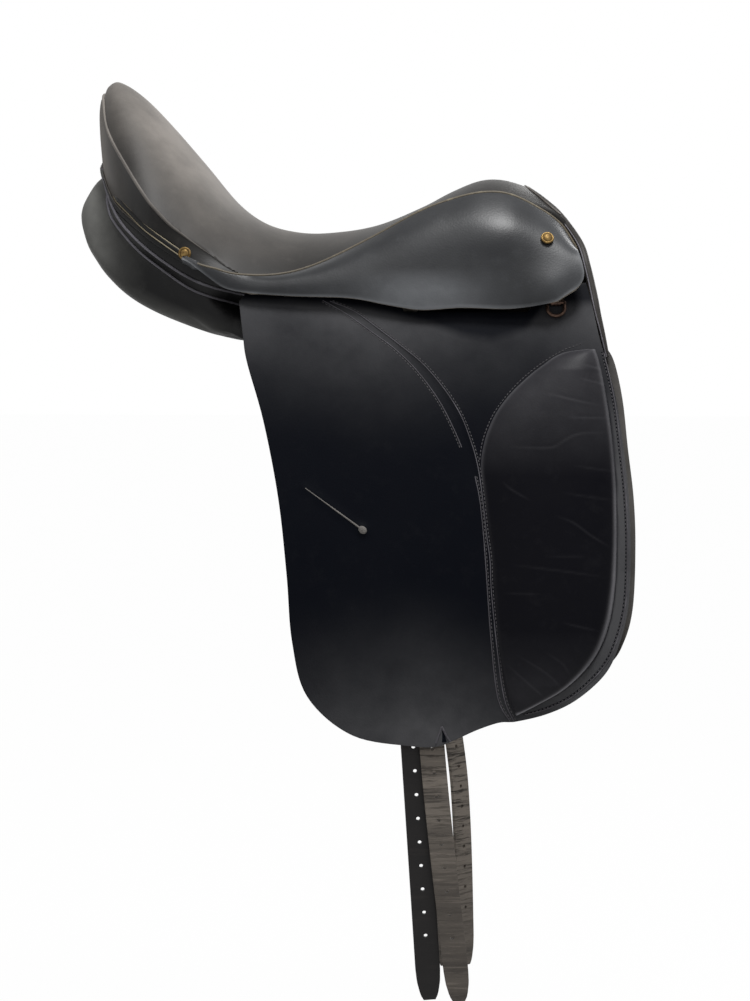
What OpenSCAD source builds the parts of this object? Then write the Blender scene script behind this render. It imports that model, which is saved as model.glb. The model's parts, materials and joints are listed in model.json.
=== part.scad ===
// Dressage saddle: spring tree, padded seat, skirts, flaps with knee rolls, wool panels and girth straps.
// +X points to the pommel, +Y to the rider's left, +Z up.
// Origin: on the middle plane, at the roof of the channel under the dip of the seat.

// Piece to draw

/* [Leather] */
// Thickness of the seat leather
seat_t = 3; // [2:0.5:4]
// Thickness of the skirts
skirt_t = 3.5; // [2.5:0.5:4.5]
// Thickness of the flaps
flap_t = 4.5; // [3.5:0.5:5.5]
// Thickness of the sweat flaps
sweat_t = 3.5; // [2.5:0.5:4]
// Thickness of the panel leather
panel_t = 2.5; // [2:0.5:3]
// Thickness of the knee roll cover
knee_t = 2; // [1.5:0.5:2.5]
// Radius of the welt between seat and skirt
welt_r = 2; // [1.5:0.25:2.5]

/* [Padding] */
// Depth of the seat foam under the rider
foam_t = 18; // [14:1:20]
// Height of the knee roll
knee_h = 16; // [10:1:20]

/* [Girth straps] */
// Width of a girth strap
strap_w = 23; // [20:1:25]
// Thickness of a girth strap
strap_t = 4.5; // [3.5:0.5:5]
// Length of a right-hand strap from stud to tip
strap_len = 642; // [560:2:680]
// Extra length of the left-hand straps
strap_extra = 70; // [0:5:80]
// Diameter of a buckle hole
hole_d = 4.8; // [4:0.2:5.4]
// Spacing of the buckle holes
hole_pitch = 22; // [18:1:25]
// Buckle holes in one strap
hole_n = 9; // [6:1:10]
// Radius of the stud a strap hangs from
stud_r = 3; // [2.5:0.25:3.5]

/* [Stirrup bars] */
// Length of the bar the stirrup leather hangs on
bar_len = 88; // [76:2:96]
// Space for the stirrup leather behind the bar
bar_gap = 12; // [9:1:13]
// Thickness of the bar
bar_t = 7; // [5:0.5:8]
// Radius of the catch pin
pin_r = 1.5; // [1.25:0.25:2]
// Radius of the bar rivets
rivet_r = 2.5; // [2:0.25:3]

/* [Dees and nails] */
// Radius of the dee wire
wire_r = 1.75; // [1.5:0.25:2]
// Inner width of a dee
dee_w = 13; // [12:1:18]
// Drop of a dee from its straight bar
dee_drop = 14; // [12:1:16]
// Radius of a brass nail head
nail_r = 6; // [5:0.5:7]

/* [Fits] */
// Gap between pieces that lie on each other
gap = 0.3; // [0.25:0.05:0.4]
// Gap between the sliding layers under the flap
slip = 2; // [1.8:0.1:2.2]
// Radial gap of a turning pin
play = 0.15; // [0.1:0.05:0.2]

/* [Hidden] */
$fn = 48;

// Side surface: flaps and straps lie on a barrel of this radius, turned in towards the front
toe = 6;
bow_r = 1200;
bow_z0 = -500;
side_in = 12.1;
bow_fn = 360;
side_mid_x = 90;
side_span = 560;
side_near = 20;
side_reach = 280;

// Layers under the flap, measured outward from the inner face of the flap
front_out = -slip;
front_in = front_out - strap_t;
rear_out = front_in - slip;
rear_in = rear_out - strap_t;
sweat_out = rear_in - slip;
sweat_in = sweat_out - sweat_t;
tab_t = 2.3;
tab_margin = 13;
tab_low_z = -8;
tab_h = 31.4;

// Seat stations: [x, [height on the middle line, half width, height of the edge]]
seat_line = [[-226, [219, 16, 212]], [-222, [227, 34, 204]], [-210, [231, 66, 178]], [-187, [217, 95, 143]],
    [-159, [189, 116, 104]], [-125, [150, 126, 62]], [-92, [111, 122, 42]], [-64, [91, 118, 37]],
    [-32, [82, 108, 39]], [0, [81, 98, 49]], [48, [88, 85, 73]], [95, [106, 74, 99]], [123, [121, 68, 110]],
    [152, [132, 64, 117]], [178, [131, 61, 116]], [205, [120, 60, 104]], [229, [106, 60, 87]],
    [246, [98, 59, 62]]];
seat_xs = [-226, -222, -216, -210, -199, -187, -173, -159, -142, -125, -108, -92, -78, -64, -48,
    -32, -8, 20, 48, 72, 95, 109, 123, 138, 152, 165, 178];
seat_ts = [for (a = [-90:15:90]) sin(a)];
crown = 2.2;
foam_line = [[-226, 0.7], [-150, 1], [80, 1], [130, 0.65], [180, 0.42]];
web_t = 1.5;
cross_spans = [[-110, -75], [-50, -5], [45, 75]];
spring_t = 2.5;
spring_edges = [0.3, 0.95];
web_reach = 0.6;
foam_reach = 0.9;
foam_end_x = 170;
board_t = 11;
stack_d = seat_t + foam_t + 2*web_t + spring_t + 5*gap;

// Foot of the wall below the cantle rim: [x of the rim above it, [shift in x, half width, height]]
foot_line = [[-226, [-3, 14, 150]], [-222, [-4, 30, 143]], [-210, [-4, 56, 122]], [-199, [-3, 74, 107]],
    [-187, [-2, 87, 96]], [-159, [-2, 110, 75]], [-125, [2, 122, 55]]];
cantle_mid_x = -110;
cantle_xs = [-226, -222, -210, -199, -187, -173, -159, -142, -125];

// Rear and front edge of the leather band over the tree head, from the middle to one end
head_rear = [[0, [178.5, 0, 131]], [0.3, [180, 26, 128.5]], [0.55, [186, 47, 120]], [0.8, [206, 57, 103]],
    [1, [228, 57, 86]]];
head_front = [[0, [197, 0, 125]], [0.3, [203, 24, 120]], [0.55, [217, 42, 109]], [0.8, [234, 54, 92]],
    [1, [249, 58, 70]]];
head_us = [0, 0.15, 0.3, 0.42, 0.55, 0.68, 0.8, 0.9, 1];

// Skirt: straight fold line and free lower edge
fold_a = [-60, 128, 28];
fold_b = [244, 95, 63];
bow_y0 = fold_a[1] - side_in - sqrt(bow_r*bow_r - bow_z0*bow_z0);
skirt_edge = [[-104, 41], [-71, 24], [-23, 17], [33, 15], [71, 8], [99, 4], [137, 6], [183, 5],
    [216, 11], [236, 22], [244, 30]];
skirt_flare = 0.25;
skirt_bulge = 0.22;
skirt_xs = [-60, -40, -15, 10, 33, 55, 75, 95, 115, 137, 160, 183, 200, 216, 229, 238, 244];
welt_rear_x = -120;
skirt_rear_xs = [-93, -86, -76, -62];

// Flap outline in the side plane, from the rear of the fold round the bottom to the front of the fold
flap_fold_z = -20;
flap_curve = [[-82, -20], [-78, -45], [-62, -100], [-48, -170], [-40, -240], [-35, -300], [-21, -350],
    [20, -385], [75, -395], [125, -386], [170, -373], [215, -357], [252, -328], [270, -285],
    [276, -217], [270, -126], [259, -45], [254, -20]];
flap_head = [[247, 8], [222, 18], [196, 18], [188, 2], [70, 2], [62, 24], [-76, 24], [-86, 12]];
packing_shape = [[-74, 15], [28, 15], [28, 24], [-74, 24]];
slit_a = [-23, -161];
slit_b = [30, -199];
slit_w = 3.6;
sweat_curve = [[-74, -18], [-55, -100], [-40, -180], [-30, -260], [-24, -320], [0, -365], [75, -382],
    [170, -366], [222, -352], [262, -326], [279, -280], [283, -217], [277, -126], [265, -45], [258, -30]];

// Knee roll edges in the side plane, by depth below the origin
knee_seam = [[40, 212], [56, 174], [82, 154], [113, 143], [136, 139], [190, 141], [263, 147], [317, 156],
    [352, 167], [364, 171]];
knee_front = [[40, 250], [80, 257], [126, 262], [172, 266], [217, 268], [262, 265], [298, 257], [327, 240],
    [352, 212], [364, 184]];
knee_ss = [40, 48, 60, 82, 108, 136, 172, 217, 262, 298, 327, 348, 358, 364];
knee_us = [0, 0.08, 0.22, 0.4, 0.6, 0.78, 0.92, 1];
knee_edge_h = 0.6;

// Panel stations: [x, [top inner, top outer, bottom outer, bottom inner corner as y, z]]
panel_line = [[-237, [[40, 108], [56, 102], [62, 84], [42, 88]]],
    [-230, [[28, 126], [64, 108], [78, 62], [32, 72]]],
    [-214, [[26, 136], [66, 104], [92, 38], [32, 52]]], [-190, [[28, 118], [84, 86], [104, 14], [32, 34]]],
    [-160, [[31, 90], [105, 64], [110, -4], [32, 18]]], [-120, [[34, 60], [114, 42], [114, -20], [31, 6]]],
    [-76, [[36, 42], [108, 3], [118, -32], [31, -2]]], [0, [[38, 37], [108, -12], [122, -52], [31, -6]]],
    [80, [[40, 42], [106, -28], [120, -68], [33, 2]]], [150, [[42, 46], [104, -57], [114, -88], [37, 20]]],
    [215, [[44, 45], [102, -73], [108, -92], [42, 28]]]];
panel_xs = [-237, -234, -229, -222, -212, -200, -185, -165, -142, -118, -90, -55, -15, 30, 80, 130, 175, 215];
panel_round = 0.62;
panel_ring = 14;

// Tree rails: [x, [upper edge, lower edge as y, z]] of the outer face
rail_line = [[-164, [[52, 150], [96, 112]]], [-120, [[49, 100], [96, 66]]], [-76, [[45, 59], [96, 27]]],
    [0, [[42, 44], [90, 23.5]]], [50, [[44, 56], [78.5, 25]]], [78, [[46.7, 67], [78, 25]]],
    [100, [[40, 76], [78, 25]]],
    [120, [[34, 84], [78, 25]]], [158, [[23.6, 98], [78, 25]]]];
rail_xs = [-164, -142, -120, -98, -76, -38, 0, 26, 50, 78, 100, 120, 140, 158];
rail_t = 11;
cantle_reach = 0.8;
cantle_board_xs = [-205, -199, -187, -176];

// Tree head: half outlines of the arch in its own plane
head_x = 186;
head_z = 50;
head_tilt = 12;
head_d = 26;
head_out = [[0, 70], [36, 61], [60, 38], [73, 4], [81, -30], [87, -50], [93, -68]];
head_wall = 10;
head_crown_wall = 17;
plate_t = 3;
plate_w = 20;
pocket_wall = 2;
pocket_top = -40;
head_rivet_ys = [-20, 20];
head_rivet_up = 10;
head_rivet_end = 5;

// Stirrup bar
bar_x = 122;
bar_at = 0.8;
bar_h = 12;
bar_plate_h = 20;
bar_plate_t = 4;
bar_rivet_xs = [-28, 14];
bar_rivet_in = 9;
bar_rivet_h = 1.5;
catch_len = 24;
catch_in = 6;
bar_foot = 14;
catch_wall = 2.6;

// Straps
strap_top_z = 5;
strap_rear_x = 50;
strap_front_x = 72;
strap_lean = 3.75;
strap_left_len = strap_len + strap_extra;
tip_len = 30;
tip_hole = 62;

// Dee and nails
dee_x = 214;
dee_z = 12;
dee_plate_t = 1.6;
dee_plate_w = 16;
dee_plate_h = 11;
dee_rivet_x = 5;
dee_rivet_z = 3.5;
knuckle_w = 9;
knuckle_wall = 1.6;
flap_nail_xs = [-58, 8];
flap_nail_z = 20;
flap_nail_r = 1.6;
pommel_nail_x = 217;
rear_nail_x = -125.5;
rear_nail_out = 2.2;
nail_h = 3;

// Curves

function station(x, list, i = 0) = i >= len(list) - 2 || x < list[i + 1][0] ? i : station(x, list, i + 1);

function slope_at(list, i) = let (a = max(i - 1, 0), b = min(i + 1, len(list) - 1))
    (list[b][1] - list[a][1])/(list[b][0] - list[a][0]);

// Smooth value of a station list at x
function fair(x, list) = let (i = station(x, list), h = list[i + 1][0] - list[i][0], t = (x - list[i][0])/h)
    list[i][1]*(1 + 2*t)*(1 - t)*(1 - t) + slope_at(list, i)*h*t*(1 - t)*(1 - t)
    + list[i + 1][1]*t*t*(3 - 2*t) + slope_at(list, i + 1)*h*t*t*(t - 1);

function knot(p, i) = p[min(max(i, 0), len(p) - 1)];

// Smooth line through points, n pieces between two points
function flow(p, n = 4) = concat([for (i = [0:len(p) - 2], k = [0:n - 1]) let (t = k/n,
    a = knot(p, i - 1), b = p[i], c = p[i + 1], d = knot(p, i + 2))
    b + t*(c - a)/2 + t*t*(a - 2.5*b + 2*c - d/2) + t*t*t*(1.5*b - a/2 - 1.5*c + d/2)], [p[len(p) - 1]]);

function unit(v) = v/norm(v);

// Surfaces

function bow_y(z, off = 0) = bow_y0 + sqrt(pow(bow_r + off, 2) - pow(z - bow_z0, 2));

// Half width of a side layer at x, z in the shared frame
function side_y(x, z, off) = (bow_y(z, off) - x*sin(toe))/cos(toe);

function seat_mid(x) = fair(x, seat_line)[0];
function seat_w(x) = fair(x, seat_line)[1];
function seat_edge(x) = fair(x, seat_line)[2];
function seat_z(x, y) = seat_mid(x) - (seat_mid(x) - seat_edge(x))*pow(min(1, abs(y)/seat_w(x)), crown);
function seat_point(x, t, down) = let (y = t*seat_w(x)) [x, y, seat_z(x, y) - down];
function seat_grid(xs, ts, down) = [for (x = xs) [for (t = ts) seat_point(x, t, down)]];
function foam_d(x) = foam_t*fair(x, foam_line);

// Strip of the stack under the foam, down from the foam by d
function under(x, y, d) = [x, y, seat_z(x, y) - seat_t - 2*gap - foam_d(x) - d];

// Point on the flat stretch beside the middle line, f = 0 to 1 from the middle outward
function spring_at(x, f, d) = under(x, 0, d)*(1 - f) + under(x, sin(15)*seat_w(x), d)*f;

// The springs end on the rear face of the tree head
spring_end = head_x - head_d/2/cos(head_tilt) - 2*gap
    - (under(head_x - head_d, 0, 2*web_t + 2*gap + spring_t)[2] - head_z)*tan(head_tilt);

function fold_at(x) = fold_a + (fold_b - fold_a)*(x - fold_a[0])/(fold_b[0] - fold_a[0]);
function skirt_head(x) = [seat_w(x) + 2*welt_r + 5*gap, seat_edge(x) - 1.5];
function skirt_foot(x) = let (f = fold_at(x), z = fair(x, skirt_edge)) [f[1] + skirt_flare*(f[2] - z), z];

// Middle points of the two curved parts of a skirt, above and below the fold
function lower_end(x) = let (f = fold_at(x)) x < fold_a[0] ? skirt_foot(x) : [f[1], f[2]];
function bulged(a, b, k) = (a + b)/2 + k*[a[1] - b[1], b[0] - a[0]];
function upper_mid(x) = bulged(skirt_head(x), lower_end(x), skirt_bulge);
function lower_mid(x) = bulged(lower_end(x), skirt_foot(x), skirt_bulge/2);
function fold_dir(x) = x < fold_a[0] ? unit(lower_end(x) - upper_mid(x))
    : unit(unit(lower_end(x) - upper_mid(x)) + unit(lower_mid(x) - lower_end(x)));
function arc_at(a, c, b, t) = a*(1 - t)*(1 - t) + 2*c*t*(1 - t) + b*t*t;

// Profile of the fixed part of a skirt from the welt to its lower end, and of the part that lifts
function upper_profile(x) = let (b = lower_end(x) - fold_dir(x)*gap/2)
    [for (t = [0:0.25:1]) arc_at(skirt_head(x), upper_mid(x), b, t)];
function lower_profile(x) = let (a = lower_end(x) + fold_dir(x)*gap/2)
    [for (t = [0, 0.33, 0.67, 1]) arc_at(a, lower_mid(x), skirt_foot(x), t)];

// Points of a profile moved inward by d, square to the profile; v0 and v1 set the direction at an end
function inward(p, d, v0 = undef, v1 = undef) = [for (i = [0:len(p) - 1]) let (
    w = unit(knot(p, i + 1) - knot(p, i - 1)), e = i == 0 ? v0 : i == len(p) - 1 ? v1 : undef,
    v = e == undef ? w : e)
    p[i] + d*[v[1], -v[0]]];
function at_x(x, p) = [for (q = p) [x, q[0], q[1]]];

// Corner of a panel; an outer corner is drawn in along its own edge until it clears the sweat flap
function panel_raw(x, k) = fair(x, [for (s = panel_line) [s[0], s[1][k]]]);
function panel_corner(x, k) = k == 0 || k == 3 ? panel_raw(x, k)
    : drawn_in(x, panel_raw(x, k), panel_raw(x, 3*(k - 1)), 4);
function drawn_in(x, p, q, n) = let (y = min(p[0], side_y(x, p[1], sweat_in - gap)),
    t = (y - q[0])/(p[0] - q[0]))
    n == 0 ? [y, p[1]] : drawn_in(x, q + (p - q)*t, q, n - 1);
function soft_pow(v) = sign(v)*pow(abs(v), panel_round);

// Closed section of a panel, drawn in by d
function panel_section(x, d) = let (a = panel_corner(x, 0), b = panel_corner(x, 1), c = panel_corner(x, 2),
    e = panel_corner(x, 3), hu = (norm(b - a) + norm(c - e))/4, hv = (norm(a - e) + norm(b - c))/4)
    [for (k = [0:panel_ring - 1]) let (w = 360*k/panel_ring, u = soft_pow(cos(w))*(1 - d/hu)/2 + 0.5,
        v = soft_pow(sin(w))*(1 - d/hv)/2 + 0.5, p = (e*(1 - u) + c*u)*(1 - v) + (a*(1 - u) + b*u)*v)
        [x, p[0], p[1]]];

// Edge k of a rail; the lower edge lies against the packing behind the flap
function rail_edge(x, k) = let (q = fair(x, [for (s = rail_line) [s[0], s[1][k]]]))
    k == 1 && x > -100 && x < 60 ? [min(q[0], side_y(x, q[1], sweat_in + gap) - gap), q[1]] : q;
function rail_face(x, f) = rail_edge(x, 0)*(1 - f) + rail_edge(x, 1)*f;
function rail_tilt(x) = let (d = rail_edge(x, 1) - rail_edge(x, 0)) atan2(d[0], -d[1]);

// Solids from grids

// Solid between an outer and an inner grid of points
module slab(outer, inner) {
    m = len(outer);
    n = len(outer[0]);
    s = m*n;
    rim = concat([for (j = [0:n - 1]) j], [for (i = [1:m - 1]) i*n + n - 1],
        [for (j = [n - 2:-1:0]) (m - 1)*n + j], [for (i = [m - 2:-1:1]) i*n]);
    polyhedron(points = concat([for (r = outer) each r], [for (r = inner) each r]),
        faces = concat(
            [for (i = [0:m - 2], j = [0:n - 2]) let (a = i*n + j)
                each [[a, a + 1, a + n + 1], [a, a + n + 1, a + n]]],
            [for (i = [0:m - 2], j = [0:n - 2]) let (a = s + i*n + j)
                each [[a, a + n + 1, a + 1], [a, a + n, a + n + 1]]],
            [for (k = [0:len(rim) - 1]) let (a = rim[k], b = rim[(k + 1)%len(rim)])
                each [[a, s + a, b], [b, s + a, s + b]]]),
        convexity = 6);
}

// Solid through a row of closed rings
module loft(rings) {
    m = len(rings);
    n = len(rings[0]);
    polyhedron(points = [for (r = rings) each r],
        faces = concat([[for (k = [0:n - 1]) k]], [[for (k = [n - 1:-1:0]) (m - 1)*n + k]],
            [for (i = [0:m - 2], k = [0:n - 1]) let (a = i*n + k, b = i*n + (k + 1)%n)
                each [[a, a + n, b], [b, a + n, b + n]]]),
        convexity = 6);
}

// Round cord along a line of points
module cord(p, r, n = 6) {
    loft([for (i = [0:len(p) - 1]) let (v = unit(knot(p, i + 1) - knot(p, i - 1)),
        s = unit(cross(v, [0, 0, 1])), u = cross(s, v))
        [for (k = [0:n - 1]) p[i] + r*(cos(360*k/n)*s + sin(360*k/n)*u)]]);
}

// Frames

// s = 1 for the left side, -1 for the right side
module sided(s) mirror([0, s < 0 ? 1 : 0, 0]) children();
module on_side(s) sided(s) rotate([0, 0, -toe]) children();

// Layer of the side barrel between two offsets
module barrel(from, to) translate([side_mid_x, bow_y0, bow_z0]) rotate([0, 90, 0]) difference() {
    cylinder(r = bow_r + to, h = side_span, center = true, $fn = bow_fn);
    cylinder(r = bow_r + from, h = side_span + 2, center = true, $fn = bow_fn);
}

// Sheet of leather: outline in the side plane, bent on the barrel
module sheet(from, to) intersection() {
    barrel(from, to);
    translate([0, side_near + side_reach, 0]) rotate([90, 0, 0]) linear_extrude(height = side_reach) children();
}

// Pin square to the side plane
module side_pin(x, z, r, from, to) intersection() {
    barrel(from, to);
    translate([x, side_near, z]) rotate([-90, 0, 0]) cylinder(r = r, h = side_reach);
}

// Tree

module head_frame() translate([head_x, 0, head_z]) rotate([0, -head_tilt, 0]) rotate([90, 0, 90]) children();

function arch_in(d) = [for (i = [0:len(head_out) - 1]) let (p = head_out[i],
    v = unit(knot(head_out, i + 1) - knot(head_out, i - 1)), w = i == 0 ? head_crown_wall : head_wall)
    i == 0 ? [0, p[1] - w - d] : p + (w + d)*[v[1], -v[0]]];
function arch_top(d) = [for (i = [0:len(head_out) - 3]) arch_in(d)[i]];
function both(p) = concat([for (i = [len(p) - 1:-1:1]) [-p[i][0], p[i][1]]], p);
function turned(p) = [for (i = [len(p) - 1:-1:0]) p[i]];

module tree_head() color("BurlyWood") head_frame() difference() {
    translate([0, 0, -head_d/2]) linear_extrude(height = head_d)
        polygon(concat(both(flow(head_out, 3)), turned(both(flow(arch_in(0), 3)))));
    for (y = head_rivet_ys) head_rivet_at(y) cylinder(r = rivet_r + play, h = 2*head_d, center = true);
}

// Rivet place under the crown of the arch, axis along the arch plane
module head_rivet_at(y) translate([y, head_out[0][1] - head_crown_wall, 0]) rotate([90, 0, 0]) children();

module gullet_plate() color("Silver") head_frame() difference() {
    translate([0, 0, -plate_w/2]) linear_extrude(height = plate_w)
        polygon(concat(both(flow(arch_top(gap), 3)), turned(both(flow(arch_top(gap + plate_t), 3)))));
    for (y = head_rivet_ys) head_rivet_at(y) cylinder(r = rivet_r + play, h = 2*head_d, center = true);
}

module head_rivets() color("Gray") head_frame() for (y = head_rivet_ys) head_rivet_at(y)
    translate([0, 0, -head_rivet_up]) cylinder(r = rivet_r, h = head_rivet_up + plate_t + head_rivet_end);

module tree_rail(s) color("BurlyWood") sided(s) difference() {
    loft([for (x = rail_xs) let (a = rail_edge(x, 0), b = rail_edge(x, 1), v = unit(b - a),
        n = rail_t*[v[1], -v[0]]) at_x(x, [a, b, b + n, a + n])]);
    bar_rivet_holes(rivet_r + play);
}

module tree_cantle() color("BurlyWood") {
    xs = concat(cantle_board_xs, [rail_xs[0] - gap]);
    ts = [for (t = [-cantle_reach:cantle_reach/5:cantle_reach + 0.01]) t];
    slab(seat_grid(xs, ts, stack_d), seat_grid(xs, ts, stack_d + board_t));
}

module tree_springs() color("SlateGray") for (s = [-1, 1]) sided(s) {
    xs = concat([for (x = seat_xs) if (x > -164 && x < 150) x], [spring_end]);
    slab([for (x = xs) [for (f = spring_edges) spring_at(x, f, 2*web_t + 2*gap)]],
        [for (x = xs) [for (f = spring_edges) spring_at(x, f, 2*web_t + 2*gap + spring_t)]]);
}

module strainer_web() color("Ivory") {
    xs = [for (x = seat_xs) if (x > -190 && x < 160) x];
    ts = [for (t = seat_ts) if (abs(t) < web_reach) t];
    slab([for (x = xs) [for (t = ts) under(x, t*seat_w(x), 0)]],
        [for (x = xs) [for (t = ts) under(x, t*seat_w(x), web_t)]]);
}

module cross_webs() color("Beige") for (span = cross_spans) {
    xs = [for (x = seat_xs) if (x >= span[0] && x <= span[1]) x];
    ts = [for (t = seat_ts) if (abs(t) < web_reach) t];
    slab([for (x = xs) [for (t = ts) under(x, t*seat_w(x), web_t + gap)]],
        [for (x = xs) [for (t = ts) under(x, t*seat_w(x), 2*web_t + gap)]]);
}

// Seat

module seat_foam() color("Khaki") {
    xs = [for (x = seat_xs) if (x > cantle_board_xs[0] && x < foam_end_x) x];
    ts = [for (t = seat_ts) if (abs(t) < foam_reach) t];
    slab(seat_grid(xs, ts, seat_t + gap),
        [for (x = xs) [for (t = ts) seat_point(x, t, seat_t + gap + foam_d(x))]]);
}

module seat_cover() color("#2b2725")
    slab(seat_grid(seat_xs, seat_ts, 0), seat_grid(seat_xs, seat_ts, seat_t));

function rim_at(x) = [x, seat_w(x) - gap, seat_edge(x) - seat_t - gap];
function foot_at(x) = let (f = fair(x, foot_line)) [x + f[0], f[1], f[2]];
function cantle_row(f) = concat([for (x = turned(cantle_xs)) f(x)],
    [for (x = cantle_xs) let (p = f(x)) [p[0], -p[1], p[2]]]);
function toward_mid(p, d) = let (v = unit([cantle_mid_x - p[0], -p[1]])) [p[0] + d*v[0], p[1] + d*v[1], p[2]];

module cantle_facing() color("#26221f") {
    top = cantle_row(function (x) rim_at(x));
    foot = cantle_row(function (x) foot_at(x));
    rows = [for (i = [0:len(top) - 1]) [foot[i], toward_mid((top[i] + foot[i])/2, 2), top[i]]];
    slab(rows, [for (r = rows) [for (p = r) toward_mid(p, seat_t)]]);
}

module cantle_welt() color("#5a4632") {
    foot = cantle_row(function (x) foot_at(x));
    cord([for (p = foot) [p[0], p[1], p[2] - 2.4*welt_r - gap]], 1.6*welt_r, 8);
}

module seat_welt(s) color("#6b543c") sided(s) cord([for (x = seat_xs) if (x > welt_rear_x)
    [x, seat_w(x) + welt_r + gap, seat_edge(x) - 1]], welt_r);

// Band of leather over the tree head between the two skirts
module head_cover() color("#262423") {
    us = concat([for (u = turned(head_us)) if (u > 0) -u], head_us);
    rows = [for (u = us) let (a = fair(abs(u), head_rear), b = fair(abs(u), head_front))
        [for (t = [0, 0.5, 1]) let (p = a*(1 - t) + b*t) [p[0], sign(u)*p[1], p[2] + 6*t*(1 - t)]]];
    slab([for (r = rows) turned(r)], [for (r = rows) turned([for (p = r) p - [0, 0, seat_t]])]);
}

// Skirts

module skirt_top(s) color("#2a2827") sided(s) {
    xs = concat(skirt_rear_xs, skirt_xs);
    slab([for (x = xs) at_x(x, upper_profile(x))],
        [for (x = xs) at_x(x, inward(upper_profile(x), skirt_t, undef, fold_dir(x)))]);
}

module skirt(s) color("#2f2d2c") sided(s) slab([for (x = skirt_xs) at_x(x, lower_profile(x))],
    [for (x = skirt_xs) at_x(x, inward(lower_profile(x), skirt_t, fold_dir(x)))]);

// Flaps

module flap_shape() difference() {
    polygon(flow(flap_curve, 5));
    translate((slit_a + slit_b)/2) rotate(atan2(slit_b[1] - slit_a[1], slit_b[0] - slit_a[0])) {
        square([norm(slit_b - slit_a), slit_w], center = true);
        for (k = [-1, 1]) translate([k*norm(slit_b - slit_a)/2, 0]) circle(d = slit_w, $fn = 24);
    }
}

module flap(s) color("#2a2b30") on_side(s) sheet(0, flap_t) difference() {
    flap_shape();
    translate([side_mid_x - side_span/2, flap_fold_z - gap/2]) square(side_span);
}

module flap_top(s) color("#26272b") on_side(s) difference() {
    sheet(0, flap_t) polygon(concat([[-83, flap_fold_z + gap/2], [254, flap_fold_z + gap/2]], flap_head));
    flap_nail_holes(flap_nail_r + play);
    dee_rivets(flap_nail_r + play, 3*flap_t, flap_t);
}

module flap_packing(s) color("Tan") on_side(s) difference() {
    sheet(sweat_in + gap, -gap) polygon(packing_shape);
    flap_nail_holes(flap_nail_r + play);
}

module flap_nail_holes(r) for (x = flap_nail_xs) side_pin(x, flap_nail_z, r, sweat_in - 2, flap_t + 6);

module flap_nails() color("Silver") for (s = [-1, 1]) on_side(s) {
    for (x = flap_nail_xs) side_pin(x, flap_nail_z, flap_nail_r, sweat_in + gap, flap_t);
    dee_rivets(flap_nail_r, flap_t - gap, gap + dee_plate_t);
}

// Two rivets through the flap and the plate of a dee staple
module dee_rivets(r, inner, outer) dee_frame() for (x = [-dee_rivet_x, dee_rivet_x])
    translate([x, -inner, dee_rivet_z]) rotate([-90, 0, 0]) cylinder(r = r, h = inner + outer);

module sweat_flap(s) color("#3a2f28") on_side(s) sheet(sweat_in, sweat_out) polygon(flow(sweat_curve, 5));

// Knee rolls

function knee_x(v, u) = let (a = fair(v, knee_seam), b = fair(v, knee_front)) a + (b - a)*u;

// Height of the roll: full in the middle, running out at both ends and both edges
function knee_end(v) = let (a = knee_ss[0], b = knee_ss[len(knee_ss) - 1], f = abs(2*(v - a)/(b - a) - 1))
    pow(max(0, 1 - pow(f, 3)), 0.6);
function knee_rise(v, u) = knee_h*pow(max(0, sin(180*u)), 0.75)*knee_end(v);
function knee_flat(v, u, off) = [knee_x(v, u), bow_y(-v, off), -v];
function knee_point(v, u, off) = knee_flat(v, u, off + knee_rise(v, u));
knee_base = flap_t + gap;
knee_skin = knee_base + knee_edge_h;

module knee_roll(s) color("DimGray") on_side(s) slab(
    [for (v = knee_ss) [for (u = knee_us) knee_point(v, u, knee_skin)]],
    [for (v = knee_ss) [for (u = knee_us) knee_flat(v, u, knee_base)]]);

module knee_cover(s) color("#303138") on_side(s) slab(
    [for (v = knee_ss) [for (u = knee_us) knee_point(v, u, knee_skin + gap + knee_t)]],
    [for (v = knee_ss) [for (u = knee_us) knee_point(v, u, knee_skin + gap)]]);

// Panels

module panel_cover(s) color("#1f1d1c") sided(s) difference() {
    loft([for (x = panel_xs) panel_section(x, 0)]);
    loft([for (x = concat([for (x = panel_xs) if (x > -232) x], [222])) panel_section(x, panel_t)]);
}

module panel_flock(s) color("OldLace") sided(s)
    loft([for (x = panel_xs) if (x > -227 && x < 200) panel_section(x, panel_t + 2*gap)]);

// Outline of the lower end of a tree point, grown by d
module pocket_shape(d) {
    out = flow(head_out, 3);
    inn = flow(arch_in(0), 3);
    n = len(out) - 1;
    polygon(concat([for (i = [9:n]) out[i] + [d, 0]], [out[n] + [d, -d], inn[n] - [d, d]],
        turned([for (i = [9:n]) inn[i] - [d, 0]])));
}

module point_pocket(s) color("#2b2420") sided(s) head_frame() difference() {
    deep = head_d + 2*gap;
    translate([0, 0, -deep/2 - pocket_wall]) linear_extrude(height = deep + 2*pocket_wall)
        pocket_shape(pocket_wall + gap);
    translate([0, 0, -deep/2]) linear_extrude(height = deep) pocket_shape(gap);
    translate([0, pocket_top, -deep]) cube([8*deep, 4*deep, 2*deep]);
}

// Girth straps

module girth_tab(s) color("#3b342f") on_side(s) difference() {
    sheet(sweat_out - tab_t, sweat_out) translate([strap_rear_x - tab_margin, tab_low_z])
        square([strap_front_x - strap_rear_x + 2*tab_margin, tab_h]);
    for (x = [strap_rear_x, strap_front_x]) side_pin(x, strap_top_z, stud_r + play, sweat_in - 9, slip);
}

module strap_studs() color("Silver") for (s = [-1, 1]) on_side(s) {
    side_pin(strap_rear_x, strap_top_z, stud_r, sweat_out - tab_t, rear_out - gap);
    side_pin(strap_front_x, strap_top_z, stud_r, sweat_out - tab_t, front_out - gap);
}

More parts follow.
